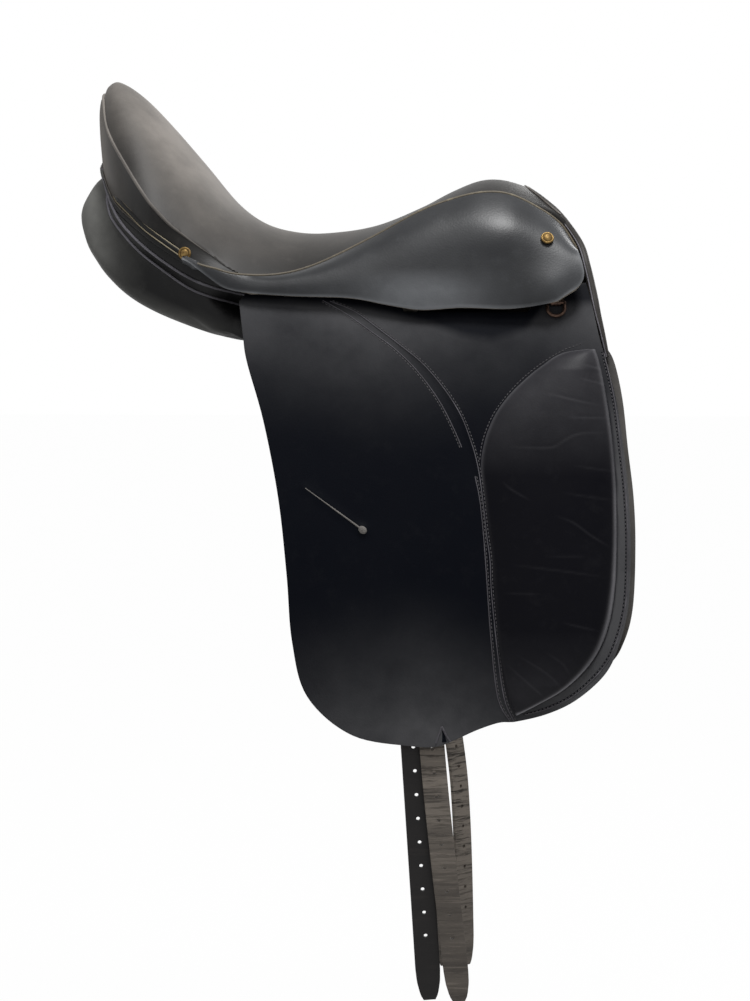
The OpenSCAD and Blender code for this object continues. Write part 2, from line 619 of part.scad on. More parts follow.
// Strap outline hanging from its stud, pointed at the tip
module strap_shape(x, length) translate([x, strap_top_z]) rotate(strap_lean) {
    circle(d = strap_w);
    polygon([[-strap_w/2, 0], [-strap_w/2, tip_len - length], [-strap_w/5, 4 - length], [0, -length],
        [strap_w/5, 4 - length], [strap_w/2, tip_len - length], [strap_w/2, 0]]);
}

module strap(s, x, from, to, length) color("#4a443e") on_side(s) difference() {
    sheet(from, to) strap_shape(x, length);
    side_pin(x, strap_top_z, stud_r + play, from - 3, to + 3);
    for (k = [0:hole_n - 1]) translate([x, 0, strap_top_z]) rotate([0, -strap_lean, 0])
        translate([0, side_near, tip_hole + k*hole_pitch - length]) rotate([-90, 0, 0])
        cylinder(d = hole_d, h = side_reach);
}

// Stirrup bars

module bar_frame() translate([bar_x, rail_face(bar_x, bar_at)[0], rail_face(bar_x, bar_at)[1]])
    rotate([rail_tilt(bar_x), 0, 0]) translate([0, 2*gap, 0]) children();

bar_in = bar_plate_t + bar_gap;
catch_x = -bar_len/2 + catch_in;

module bar_rivet_holes(r) bar_frame() for (x = bar_rivet_xs) translate([x, -3*rail_t, 0]) rotate([-90, 0, 0])
    cylinder(r = r, h = 4*rail_t);

module stirrup_bar(s) color("Silver") sided(s) bar_frame() difference() {
    union() {
        translate([-bar_len/2, 0, -bar_plate_h/2]) cube([bar_len, bar_plate_t, bar_plate_h]);
        translate([bar_len/2 - bar_foot, 0, -bar_h/2]) cube([bar_foot, bar_in + bar_t, bar_h]);
        translate([-bar_len/2, bar_in, -bar_h/2]) cube([bar_len, bar_t, bar_h]);
    }
    for (x = bar_rivet_xs) translate([x, -1, 0]) rotate([-90, 0, 0])
        cylinder(r = rivet_r + play, h = bar_plate_t + 2);
    translate([catch_x, bar_in - 1, 0]) rotate([-90, 0, 0]) cylinder(r = pin_r + play, h = bar_t + 2);
}

module bar_rivets() color("Gray") for (s = [-1, 1]) sided(s) bar_frame() for (x = bar_rivet_xs)
    translate([x, 0, 0]) rotate([-90, 0, 0]) {
        translate([0, 0, -bar_rivet_in]) cylinder(r = rivet_r, h = bar_rivet_in + bar_plate_t);
        translate([0, 0, bar_plate_t + gap/2])
            cylinder(r1 = 1.8*rivet_r, r2 = 1.2*rivet_r, h = bar_rivet_h);
    }

module catch_pins() color("Gray") for (s = [-1, 1]) sided(s) bar_frame()
    translate([catch_x, bar_in - gap - catch_wall, 0]) rotate([-90, 0, 0])
    cylinder(r = pin_r, h = bar_t + 2*gap + 2*catch_wall);

module stirrup_catch(s) color("Silver") sided(s) bar_frame() translate([catch_x, 0, 0]) difference() {
    reach = norm([catch_in, bar_h/2]) + 2*gap;
    low = bar_in - gap - catch_wall;
    wide = bar_t + 2*gap + 2*catch_wall;
    tall = bar_h - 2;
    union() {
        translate([-catch_len, low, -tall/2]) cube([catch_len - reach, wide, tall]);
        for (y = [low, bar_in + bar_t + gap]) {
            translate([-reach - 1, y, -tall/2]) cube([reach + 1, catch_wall, tall]);
            translate([0, y, 0]) rotate([-90, 0, 0]) cylinder(d = tall, h = catch_wall);
        }
    }
    translate([0, low - 1, 0]) rotate([-90, 0, 0]) cylinder(r = pin_r + play, h = wide + 2);
}

// Dees

module dee_frame() translate([dee_x, bow_y(dee_z, flap_t), dee_z])
    rotate([asin((dee_z - bow_z0)/(bow_r + flap_t)), 0, 0]) children();
knuckle_r = wire_r + play + knuckle_wall;
knuckle_y = gap + knuckle_r;
knuckle_z = -3;

module dee_staple(s) color("#b08a4a") on_side(s) difference() {
    dee_frame() {
        translate([-dee_plate_w/2, gap, knuckle_z]) cube([dee_plate_w, dee_plate_t, dee_plate_h]);
        translate([-knuckle_w/2, knuckle_y, knuckle_z]) rotate([0, 90, 0])
            cylinder(r = knuckle_r, h = knuckle_w);
    }
    dee_frame() translate([-dee_plate_w, knuckle_y, knuckle_z]) rotate([0, 90, 0])
        cylinder(r = wire_r + play, h = 2*dee_plate_w);
    dee_rivets(flap_nail_r + play, 1, 2*flap_t);
}

module dee_ring(s) color("#b5934f") on_side(s) dee_frame() translate([0, knuckle_y, knuckle_z]) {
    half = dee_w/2 + wire_r;
    straight = dee_drop - half;
    translate([-half, 0, 0]) rotate([0, 90, 0]) cylinder(r = wire_r, h = 2*half);
    for (x = [-half, half]) {
        translate([x, 0, 0]) sphere(r = wire_r);
        translate([x, 0, -straight]) cylinder(r = wire_r, h = straight);
    }
    translate([0, 0, -straight]) rotate([90, 0, 0]) rotate([0, 0, 180]) rotate_extrude(angle = 180)
        translate([half, 0]) circle(r = wire_r, $fn = 24);
}

// Brass nails

module saddle_nails() color("#c9a961") for (s = [-1, 1]) sided(s) {
    p = upper_profile(pommel_nail_x);
    along = upper_profile(pommel_nail_x + 5)[3] - upper_profile(pommel_nail_x - 5)[3];
    down = unit(p[4] - p[2]);
    nail([pommel_nail_x, p[3][0], p[3][1]], cross([10, along[0], along[1]], [0, down[0], down[1]]));
    q = (rim_at(rear_nail_x) + foot_at(rear_nail_x))/2;
    nail(toward_mid(q, -rear_nail_out), q - toward_mid(q, 1));
}

module nail(p, n) translate(p + 2*gap*unit(n)) rotate([0, acos(unit(n)[2]), atan2(n[1], n[0])])
    rotate_extrude() intersection() {
        translate([0, nail_h - (nail_r*nail_r + nail_h*nail_h)/(2*nail_h)])
            circle(r = (nail_r*nail_r + nail_h*nail_h)/(2*nail_h), $fn = 64);
        square([nail_r, nail_h]);
    }

tree_head();
tree_rail(-1);  // tree_rail_right
tree_rail(1);  // tree_rail_left
tree_cantle();
gullet_plate();
head_rivets();
tree_springs();
strainer_web();
cross_webs();
seat_foam();
seat_cover();
cantle_facing();
cantle_welt();
seat_welt(-1);  // seat_welt_right
seat_welt(1);  // seat_welt_left
head_cover();
skirt_top(-1);  // skirt_top_right
skirt_top(1);  // skirt_top_left
flap_top(-1);  // flap_top_right
flap_top(1);  // flap_top_left
flap_packing(-1);  // flap_packing_right
flap_packing(1);  // flap_packing_left
flap_nails();
saddle_nails();
girth_tab(-1);  // girth_tab_right
girth_tab(1);  // girth_tab_left
strap_studs();
stirrup_bar(-1);  // stirrup_bar_right
stirrup_bar(1);  // stirrup_bar_left
bar_rivets();
catch_pins();
panel_cover(-1);  // panel_cover_right
panel_cover(1);  // panel_cover_left
panel_flock(-1);  // panel_flock_right
panel_flock(1);  // panel_flock_left
point_pocket(-1);  // point_pocket_right
point_pocket(1);  // point_pocket_left
sweat_flap(-1);  // sweat_flap_right
sweat_flap(1);  // sweat_flap_left
dee_staple(-1);  // dee_staple_right
dee_staple(1);  // dee_staple_left
skirt(-1);  // skirt_right
skirt(1);  // skirt_left
flap(-1);  // flap_right
flap(1);  // flap_left
knee_roll(-1);  // knee_roll_right
knee_roll(1);  // knee_roll_left
knee_cover(-1);  // knee_cover_right
knee_cover(1);  // knee_cover_left
strap(-1, strap_rear_x, rear_in, rear_out, strap_len);  // strap_right_rear
strap(-1, strap_front_x, front_in, front_out, strap_len);  // strap_right_front
strap(1, strap_rear_x, rear_in, rear_out, strap_left_len);  // strap_left_rear
strap(1, strap_front_x, front_in, front_out, strap_left_len);  // strap_left_front
stirrup_catch(-1);  // stirrup_catch_right
stirrup_catch(1);  // stirrup_catch_left
dee_ring(-1);  // dee_ring_right
dee_ring(1);  // dee_ring_left
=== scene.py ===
import json
import math

import bmesh
import bpy
import numpy as np
from mathutils import Matrix, Vector


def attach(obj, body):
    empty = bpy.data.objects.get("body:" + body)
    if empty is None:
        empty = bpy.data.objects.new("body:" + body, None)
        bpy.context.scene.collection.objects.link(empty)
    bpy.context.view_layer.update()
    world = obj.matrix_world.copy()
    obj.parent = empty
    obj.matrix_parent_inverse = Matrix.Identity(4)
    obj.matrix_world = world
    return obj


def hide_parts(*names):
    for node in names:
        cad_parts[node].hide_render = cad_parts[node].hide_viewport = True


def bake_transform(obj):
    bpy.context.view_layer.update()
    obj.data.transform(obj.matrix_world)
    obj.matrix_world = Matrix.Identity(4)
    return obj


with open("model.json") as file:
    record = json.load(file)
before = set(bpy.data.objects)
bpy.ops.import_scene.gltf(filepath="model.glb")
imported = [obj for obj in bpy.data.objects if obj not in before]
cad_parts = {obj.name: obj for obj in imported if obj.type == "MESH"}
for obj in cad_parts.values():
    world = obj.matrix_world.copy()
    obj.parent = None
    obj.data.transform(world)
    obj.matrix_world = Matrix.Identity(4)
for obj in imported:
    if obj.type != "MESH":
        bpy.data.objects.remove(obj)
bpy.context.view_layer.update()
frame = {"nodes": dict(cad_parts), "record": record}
scene = bpy.context.scene
MM = 0.001

# Sizes of the saddle in millimetres, as its solids have them
SEAT = [(-226, (219, 16, 212)), (-222, (227, 34, 204)), (-210, (231, 66, 178)), (-187, (217, 95, 143)),
        (-159, (189, 116, 104)), (-125, (150, 126, 62)), (-92, (111, 122, 42)), (-64, (91, 118, 37)),
        (-32, (82, 108, 39)), (0, (81, 98, 49)), (48, (88, 85, 73)), (95, (106, 74, 99)), (123, (121, 68, 110)),
        (152, (132, 64, 117)), (178, (131, 61, 116)), (205, (120, 60, 104)), (229, (106, 60, 87)), (246, (98, 59, 62))]
FOAM = [(-226, 0.7), (-150, 1), (80, 1), (130, 0.65), (180, 0.42)]
WALL_FOOT = [(-226, (1, 14, 150)), (-222, (0, 30, 143)), (-210, (-1, 56, 122)), (-199, (-2, 74, 108)),
             (-187, (-2, 87, 97)), (-159, (-2, 110, 76)), (-125, (0, 122.5, 53)), (-110, (0, 122.6, 46.8)),
             (-96, (0, 122.2, 42)), (-84, (0, 120.8, 39.6)), (-72, (0, 118.8, 37.6))]
STRIP = [(-203, 115), (-183.5, 98), (-166.7, 83), (-145.8, 68.5), (-124, 54)]
SKIRT_DROP = [(-128, 9), (-118, 6), (-105, 2.5), (-92, 0), (0, 0)]
SKIRT_FORE = [(0, 240), (0.25, 245), (0.45, 248), (0.58, 250.5), (0.75, 252), (0.87, 249), (0.95, 241.5), (1, 227)]
FOLD_T = [(-160, 1), (-142, 0.972), (-125, 0.94), (-103, 0.935), (-88, 0.962), (-72, 1)]
HEAD_FRONT = [(0, (197, 0, 125)), (0.3, (203, 24, 120)), (0.55, (217, 42, 109)), (0.8, (234, 54, 92)),
              (1, (249, 58, 70))]
FOLD_A, FOLD_B = np.array([-60, 128, 28.0]), np.array([244, 95, 63.0])
SKIRT_EDGE = [(-128, 52), (-120, 48.5), (-104, 36), (-88, 25), (-69, 20.5), (-23, 17), (33, 15), (71, 8), (99, 4),
              (137, 6), (183, 5), (216, 9), (230, 13), (240, 17), (252, 22)]
FLAP_REAR = [(-86, 12), (-82, -20), (-78, -45), (-62, -100), (-48, -170), (-40, -240), (-35, -300), (-21, -350)]
FLAP_FOOT = [(-21, -350), (20, -385), (75, -395), (98, -395), (115, -389), (136, -380), (155, -374), (170, -373),
             (199, -366), (226, -353), (252, -330)]
FLAP_FRONT = [(244, 30), (249, 8), (254, -20), (260, -45), (268, -80), (273.5, -126), (277, -172), (277.5, -217),
              (274.5, -268), (265, -304), (252, -330)]
FLAP_HEAD = [(-86, 12), (-76, 24), (62, 24), (70, 2), (188, 2), (196, 18), (222, 26), (244, 30)]
SWEAT_HEAD = [(-74, -18), (92, -24), (262, -30)]
SWEAT_REAR = [(-74, -18), (-55, -100), (-40, -180), (-30, -260), (-24, -320)]
SWEAT_FOOT = [(-24, -320), (0, -365), (75, -382), (170, -366), (221, -351), (257.5, -325)]
SWEAT_FRONT = [(262, -30), (270, -45), (276.5, -80), (280, -126), (284, -172), (284.5, -217), (281, -272),
               (272, -304), (257.5, -325)]
KNEE_SEAM = [(33, 243), (36, 221), (48, 200), (63, 181), (79, 165), (96, 153), (118, 144), (141, 140), (171, 143),
             (226, 149), (308, 155), (351, 163), (367, 170)]
KNEE_FRONT = [(33, 250), (48, 254), (80, 259), (117, 263), (154, 265), (190, 265), (226, 264), (253, 262),
              (282, 257), (306, 248), (326, 234), (344, 214), (357, 191), (367, 171)]
PANEL = [(-237, ((40, 112), (56, 107), (62, 84), (42, 88))), (-230, ((28, 131), (62, 116), (78, 62), (32, 72))),
         (-222, ((26, 143), (64, 116), (85, 50), (32, 62))), (-214, ((26, 146), (67, 111), (92, 38), (32, 52))),
         (-190, ((28, 121), (84, 88), (104, 14), (32, 34))),
         (-160, ((31, 90), (105, 64), (110, -4), (32, 18))), (-120, ((34, 60), (114, 42), (114, -20), (31, 6))),
         (-76, ((36, 42), (108, 3), (118, -32), (31, -2))), (0, ((38, 37), (108, -12), (122, -52), (31, -6))),
         (80, ((40, 42), (106, -28), (120, -68), (33, 2))), (150, ((42, 46), (104, -57), (114, -88), (37, 20))),
         (215, ((44, 45), (102, -73), (108, -92), (42, 28)))]
SEAT_T, FOAM_T, SKIRT_T, FLAP_T, SWEAT_T, STRAP_T, STRAP_W, WEB_T = 3, 18, 3.5, 4.5, 3.5, 4.5, 23, 1.5
GAP, SLIP, WELT_R, PIPING_R = 0.3, 2, 2, 1.3
FRONT_OUT = -SLIP
REAR_OUT = FRONT_OUT - STRAP_T - SLIP
SWEAT_OUT = REAR_OUT - STRAP_T - SLIP
BOW_R, BOW_Z = 1200, -500
BOW_Y = 115.9 - math.sqrt(BOW_R**2 - BOW_Z**2)
TOE = math.radians(6)
SIDES = [(side, s, np.array([1, s, 1])) for side, s in (("right", -1), ("left", 1))]


# Curves and surfaces

def fair(x, stations):
    """Smooth value of a station list at x."""
    xs = np.array([s[0] for s in stations], float)
    ys = np.array([np.ravel(s[1]) for s in stations], float)
    slope = np.gradient(ys, xs, axis=0, edge_order=1)
    slope[1:-1] = (ys[2:] - ys[:-2]) / (xs[2:] - xs[:-2])[:, None]
    x = np.asarray(x, float)
    i = np.clip(np.searchsorted(xs, x, side="right") - 1, 0, len(xs) - 2)
    h = (xs[i + 1] - xs[i])[..., None]
    t = np.clip((x - xs[i])[..., None] / h, 0, 1)
    value = (ys[i] * (1 + 2 * t) * (1 - t) ** 2 + slope[i] * h * t * (1 - t) ** 2
             + ys[i + 1] * t * t * (3 - 2 * t) + slope[i + 1] * h * t * t * (t - 1))
    return value[..., 0] if value.shape[-1] == 1 else value


def ramp(v, a, b):
    """0 at a, 1 at b, and straight between them."""
    return np.clip((v - a) / (b - a), 0, 1)


def hump(v, middle, reach):
    """1 at the middle, falling off softly either way."""
    return np.exp(-((v - middle) / reach) ** 2)


def flow(points, n=8):
    """Smooth line through points."""
    p = np.array(points, float)
    a, b, c, d = np.vstack([p[:1], p[:-2]]), p[:-1], p[1:], np.vstack([p[2:], p[-1:]])
    t = (np.arange(n) / n)[None, :, None]
    a, b, c, d = (q[:, None] for q in (a, b, c, d))
    line = b + t * (c - a) / 2 + t**2 * (a - 2.5 * b + 2 * c - d / 2) + t**3 * (1.5 * b - a / 2 - 1.5 * c + d / 2)
    return np.vstack([line.reshape(-1, p.shape[1]), p[-1:]])


def spaced(points, n):
    """The line again as n + 1 evenly spaced points."""
    p = np.asarray(points, float)
    run = np.concatenate([[0], np.cumsum(np.linalg.norm(np.diff(p, axis=0), axis=1))])
    at = np.linspace(0, run[-1], n + 1)
    return np.stack([np.interp(at, run, p[:, k]) for k in range(p.shape[1])], -1)


def length_of(points):
    return np.linalg.norm(np.diff(np.asarray(points, float), axis=0), axis=1).sum()


def away_from(x, z, line):
    """Distance of points from a line in the side plane, and on which side of it they lie."""
    p = np.stack([x, z], -1)
    best, side = np.full(x.shape, 1e9), np.ones(x.shape)
    for a, b in zip(line[:-1], line[1:]):
        d = b - a
        t = np.clip(((p - a) @ d) / (d @ d), 0, 1)
        off = p - a - t[..., None] * d
        r = np.linalg.norm(off, axis=-1)
        near = r < best
        best = np.where(near, r, best)
        side = np.where(near, np.sign(d[0] * off[..., 1] - d[1] * off[..., 0]), side)
    return best, side


def on_side(x, z, off):
    """Points of the side plane bent on the barrel that the flaps follow, on the left."""
    y = BOW_Y + np.sqrt((BOW_R + off) ** 2 - (z - BOW_Z) ** 2)
    return np.stack([x * math.cos(TOE) + y * math.sin(TOE), y * math.cos(TOE) - x * math.sin(TOE), z + 0 * x], -1)


def flat_on_side(p):
    """Side-plane x and z of points on either flap."""
    return p[:, 0] * math.cos(TOE) - np.abs(p[:, 1]) * math.sin(TOE), p[:, 2]


def side_y(x, z, off):
    return (BOW_Y + np.sqrt((BOW_R + off) ** 2 - (z - BOW_Z) ** 2) - x * math.sin(TOE)) / math.cos(TOE)


def patch(head, foot, rear, front, cols, rows):
    """Grid that fills four joined lines: head and foot run forward, rear and front run down."""
    u, v = np.meshgrid(np.linspace(0, 1, cols + 1), np.linspace(0, 1, rows + 1))
    a, b = spaced(head, cols)[None], spaced(foot, cols)[None]
    c, d = spaced(rear, rows)[:, None], spaced(front, rows)[:, None]
    u, v = u[..., None], v[..., None]
    corners = (1 - u) * (1 - v) * a[:, :1] + u * (1 - v) * a[:, -1:] + (1 - u) * v * b[:, :1] + u * v * b[:, -1:]
    return (1 - v) * a + v * b + (1 - u) * c + u * d - corners


def seat_half(x):
    tip = 16 * np.sqrt(ramp(x, -227.2, -226))
    return np.where(x < -226, tip, fair(x, SEAT)[..., 1])


def seat_z(x, t):
    mid, _, edge = np.moveaxis(fair(x, SEAT), -1, 0)
    return mid - (mid - edge) * np.abs(t) ** 2.2


# Making pieces

def add_grid(bm, points):
    """Grid of faces through rows of points; returns its vertices by row and column."""
    rows, cols = points.shape[0] - 1, points.shape[1] - 1
    made = {}
    for v in bmesh.ops.create_grid(bm, x_segments=cols, y_segments=rows, size=0.5)["verts"]:
        r, c = round((v.co.y + 0.5) * rows), round((v.co.x + 0.5) * cols)
        v.co = Vector(points[r, c]) * MM
        made[r, c] = v
    return made


def lowered(points, depth, out):
    """The grid moved in by depth, square to its surface; out is a direction that its outer face looks to."""
    n = np.cross(np.gradient(points, axis=1), np.gradient(points, axis=0))
    n /= np.maximum(np.linalg.norm(n, axis=-1, keepdims=True), 1e-9)
    if (n @ np.array(out, float)).mean() < 0:
        n = -n
    return points - n * np.asarray(depth, float)[..., None]


def round_edge(bm, rim, rounding):
    bmesh.ops.bevel(bm, geom=rim, offset=rounding * MM, offset_type="OFFSET", segments=3, profile=0.5, affect="EDGES",
                    material=-1, clamp_overlap=True)


def shell(outer, inner, rounding=0, edge_finish=0):
    """Closed piece between two grids of points, with its cut edge rounded."""
    bm = bmesh.new()
    add_grid(bm, outer)
    add_grid(bm, inner)
    rim = [e for e in bm.edges if e.is_boundary]
    for f in bmesh.ops.bridge_loops(bm, edges=rim)["faces"]:
        f.material_index = edge_finish
    bmesh.ops.recalc_face_normals(bm, faces=bm.faces)
    if rounding:
        round_edge(bm, rim, rounding)
    return bm


def close(bm):
    """Joins doubled points, fills what is open and turns the faces outwards."""
    bmesh.ops.remove_doubles(bm, verts=bm.verts, dist=1e-6)
    bmesh.ops.holes_fill(bm, edges=[e for e in bm.edges if e.is_boundary])
    bmesh.ops.recalc_face_normals(bm, faces=bm.faces)


def tube(path, radius, sides=10, squeeze=1.0, up=(0, 0, 1)):
    """Cord or rolled strip along a path, squeezed to a share of its height."""
    p = np.asarray(path, float)
    v = np.gradient(p, axis=0)
    v /= np.linalg.norm(v, axis=1, keepdims=True)
    s = np.cross(v, np.broadcast_to(np.array(up, float), v.shape))
    s /= np.linalg.norm(s, axis=1, keepdims=True)
    u = np.cross(s, v)
    a = np.linspace(0, 2 * math.pi, sides + 1)
    r = np.broadcast_to(np.asarray(radius, float), (len(p),))[:, None, None]
    points = p[:, None] + r * (np.cos(a)[None, :, None] * s[:, None] + squeeze * np.sin(a)[None, :, None] * u[:, None])
    bm = bmesh.new()
    add_grid(bm, points)
    close(bm)
    return bm


def stitch_row(bm, path, out, pitch=3.6, thread=0.5):
    """Row of sunk stitches along a path; out is the way the leather faces at each point."""
    n = max(2, int(length_of(path) / pitch))
    joined = spaced(np.hstack([path, out]), n)
    for a, b in zip(joined[:-1], joined[1:]):
        mid, along = (a[:3] + b[:3]) / 2, Vector(b[:3] - a[:3]).normalized()
        side = along.cross(Vector(a[3:])).normalized()
        turn = Matrix((side, along.cross(side), along)).transposed().to_4x4()
        size = Matrix.Diagonal((thread * MM, 0.8 * thread * MM, 0.38 * pitch * MM, 1))
        bmesh.ops.create_uvsphere(bm, u_segments=6, v_segments=4, radius=1,
                                  matrix=Matrix.Translation(Vector(mid) * MM) @ turn @ size)


def finer(grid):
    """The grid again with twice the rows and columns, on smooth lines."""
    r, c, k = grid.shape
    grid = flow(grid.reshape(r, -1), 2).reshape(2 * r - 1, c, k).swapaxes(0, 1)
    return flow(grid.reshape(c, -1), 2).reshape(2 * c - 1, 2 * r - 1, k).swapaxes(0, 1)


def swell(points, held, pressure, most):
    """Cloth simulation of a stuffed skin: the grid blown out from inside, held where held is true."""
    bm = bmesh.new()
    made = add_grid(bm, points)
    bm.verts.index_update()
    order = {place: v.index for place, v in made.items()}
    mesh = bpy.data.meshes.new("skin")
    bm.to_mesh(mesh)
    bm.free()
    obj = bpy.data.objects.new("skin", mesh)
    scene.collection.objects.link(obj)
    pins = obj.vertex_groups.new(name="held")
    pins.add([order[tuple(place)] for place in np.argwhere(held)], 1, "ADD")
    cloth = obj.modifiers.new("skin", "CLOTH").settings
    cloth.quality, cloth.mass, cloth.tension_stiffness, cloth.compression_stiffness = 6, 0.3, 20, 20
    cloth.shear_stiffness, cloth.bending_stiffness, cloth.vertex_group_mass = 10, 2, "held"
    cloth.use_pressure, cloth.uniform_pressure_force, cloth.effector_weights.gravity = True, pressure, 0
    for n in range(1, 21):
        scene.frame_set(n)
    moved = obj.evaluated_get(bpy.context.evaluated_depsgraph_get()).data.vertices
    after = np.array([[moved[order[r, c]].co[:] for c in range(points.shape[1])] for r in range(points.shape[0])]) / MM
    scene.frame_set(1)
    bpy.data.objects.remove(obj)
    step = after - points
    far = np.maximum(np.linalg.norm(step, axis=-1, keepdims=True), 1e-9)
    return points + step * np.minimum(1, most / far)


def join(bm, part):
    """Adds a part to a piece that is made of several."""
    mesh = bpy.data.meshes.new("part")
    part.to_mesh(mesh)
    part.free()
    bm.from_mesh(mesh)
    bpy.data.meshes.remove(mesh)


def piece(name, bm, finishes, body=None, crisp=42, rub=None):
    """Object of a bmesh; rub tells how far its leather is rubbed and, on some pieces, where sheen, highlight or shade
    is painted, as one share or by points in mm.
    """
    for e in bm.edges:
        e.smooth = not e.is_manifold or e.calc_face_angle(0) < math.radians(crisp)
    for f in bm.faces:
        f.smooth = True
    mesh = bpy.data.meshes.new(name)
    bm.to_mesh(mesh)
    bm.free()
    for finish in finishes:
        mesh.materials.append(finish)
    if rub:
        points = np.array([v.co[:] for v in mesh.vertices]) / MM
        share = rub(points) if callable(rub) else np.full(len(points), rub)
        mesh.attributes.new("rubbed", "FLOAT", "POINT").data.foreach_set("value", share.astype(np.float32))
    obj = bpy.data.objects.new(name, mesh)
    scene.collection.objects.link(obj)
    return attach(obj, body) if body else obj


# Finishes

def linear(code):
    """sRGB hex colour as linear values."""
    c = [int(code[i:i + 2], 16) / 255 for i in (1, 3, 5)]
    return [v / 12.92 if v <= 0.04045 else ((v + 0.055) / 1.055) ** 2.4 for v in c] + [1]


def add(tree, kind, values=(), links=(), **settings):
    """Adds a node with its settings, input values and links; a linked node gives its first output."""
    n = tree.nodes.new("ShaderNode" + kind)
    for key, value in settings.items():
        setattr(n, key, value)
    for key, value in dict(values).items():
        n.inputs[key].default_value = value
    for key, source in dict(links).items():
        tree.links.new(getattr(source, "outputs", [source])[0], n.inputs[key])
    return n


def finish(name):
    m = bpy.data.materials.new(name)
    m.use_nodes = True
    m.node_tree.nodes.clear()
    return m, m.node_tree


def leather(name, colour, worn, rough, shine, grain=1.6, grain_depth=0.06, wear=0.5, streak=(1, 1, 1), cracks=False):
    """Dyed hide: pores and fine creases of the grain side, uneven dye, and paler, duller places from the rubbed
    attribute, which holds real wear and, on several pieces, painted sheen, highlights and shadow.
    The grain is drawn at about 1.6 mm, coarser than life, so that it shows."""
    m, t = finish(name)
    place = add(t, "TexCoord")
    at = add(t, "Mapping", {"Scale": streak}, {"Vector": place.outputs["Object"]})
    cells = add(t, "TexVoronoi", {"Scale": 1000 / grain, "Randomness": 1}, {"Vector": at}, feature="SMOOTH_F1")
    soft = add(t, "TexNoise", {"Scale": 1000 / 55, "Detail": 5, "Roughness": 0.6}, {"Vector": at})
    rub = add(t, "TexNoise", {"Scale": 1000 / 16, "Detail": 8, "Roughness": 0.68}, {"Vector": at})
    rubbed = add(t, "MapRange", {"From Min": 0.54, "From Max": 0.78, "To Max": wear}, {"Value": rub})
    uneven = add(t, "MapRange", {"From Min": 0.35, "From Max": 0.75, "To Max": 0.35 * wear}, {"Value": soft})
    amount = add(t, "Math", {}, {0: rubbed, 1: uneven}, operation="ADD")
    # Paler colour from the rubbed attribute: wear, and on several pieces painted sheen, highlights and shadow
    wear_and_painted_light = add(t, "Attribute", attribute_name="rubbed")
    patchy = add(t, "MapRange", {"From Min": 0.3, "From Max": 0.7, "To Min": 0.7, "To Max": 1.3}, {"Value": soft})
    marks = add(t, "Math", {}, {0: wear_and_painted_light.outputs["Fac"], 1: patchy}, operation="MULTIPLY")
    amount = add(t, "Math", {}, {0: amount, 1: marks}, operation="ADD", use_clamp=True)
    dye = add(t, "MixRGB", {"Color1": linear(colour), "Color2": linear(worn)}, {"Fac": amount})
    dull = add(t, "MapRange", {"To Min": rough, "To Max": min(1, rough + 0.25)}, {"Value": amount})
    creases = add(t, "Math", {1: 0.5}, {0: rub}, operation="MULTIPLY")
    height = add(t, "Math", {}, {0: cells, 1: creases}, operation="ADD")
    if cracks:
        across = add(t, "Mapping", {"Scale": (30, 30, 380)}, {"Vector": place.outputs["Object"]})
        split = add(t, "TexNoise", {"Scale": 1, "Detail": 4, "Roughness": 0.7}, {"Vector": across})
        gape = add(t, "MapRange", {"From Min": 0.5, "From Max": 0.6}, {"Value": split})
        deep = add(t, "Math", {}, {0: gape, 1: wear_and_painted_light.outputs["Fac"]}, operation="MULTIPLY")
        dye = add(t, "MixRGB", {"Color2": linear("#100d0c")}, {"Fac": deep, "Color1": dye})
        height = add(t, "Math", {}, {0: height, 1: deep}, operation="SUBTRACT")
    bump = add(t, "Bump", {"Strength": 1, "Distance": grain_depth * MM}, {"Height": height})
    skin = add(t, "BsdfPrincipled", {"Specular IOR Level": shine, "IOR": 1.5},
               {"Base Color": dye, "Roughness": dull, "Normal": bump})
    add(t, "OutputMaterial", {}, {"Surface": skin})
    return m


def metal(name, colour, tarnish, rough):
    """Cast or drawn metal with tarnish in soft patches and fine rubbing marks."""
    m, t = finish(name)
    place = add(t, "TexCoord")
    patches = add(t, "TexNoise", {"Scale": 1000 / 5, "Detail": 6, "Roughness": 0.65},
                  {"Vector": place.outputs["Object"]})
    spread = add(t, "MapRange", {"From Min": 0.4, "From Max": 0.66}, {"Value": patches})
    tone = add(t, "MixRGB", {"Color1": linear(colour), "Color2": linear(tarnish)}, {"Fac": spread})
    dull = add(t, "MapRange", {"To Min": rough, "To Max": rough + 0.25}, {"Value": spread})
    bump = add(t, "Bump", {"Strength": 1, "Distance": 0.04 * MM}, {"Height": patches})
    skin = add(t, "BsdfPrincipled", {"Metallic": 1}, {"Base Color": tone, "Roughness": dull, "Normal": bump})
    add(t, "OutputMaterial", {}, {"Surface": skin})
    return m


def fibre(name, colour, shade, scale, depth, rough=0.85):
    """Wood, webbing, felt or thread: fibres along one way, drawn by stretched noise; scale is mm along x, y, z."""
    m, t = finish(name)
    place = add(t, "TexCoord")
    at = add(t, "Mapping", {"Scale": [1000 / s for s in scale]}, {"Vector": place.outputs["Object"]})
    strands = add(t, "TexNoise", {"Scale": 1, "Detail": 4, "Roughness": 0.6}, {"Vector": at})
    spread = add(t, "MapRange", {"From Min": 0.35, "From Max": 0.65}, {"Value": strands})
    tone = add(t, "MixRGB", {"Color1": linear(colour), "Color2": linear(shade)}, {"Fac": spread})
    bump = add(t, "Bump", {"Strength": 1, "Distance": depth * MM}, {"Height": strands})
    skin = add(t, "BsdfPrincipled", {"Roughness": rough, "Specular IOR Level": 0.3},
               {"Base Color": tone, "Normal": bump})
    add(t, "OutputMaterial", {}, {"Surface": skin})
    return m


# Seat of black calf, rubbed warm grey by use, with a painted sheen on the cantle's inner slope
seat_calf = leather("seat_calf", "#100f0e", "#7c7772", 0.45, 0.2, wear=0.08)
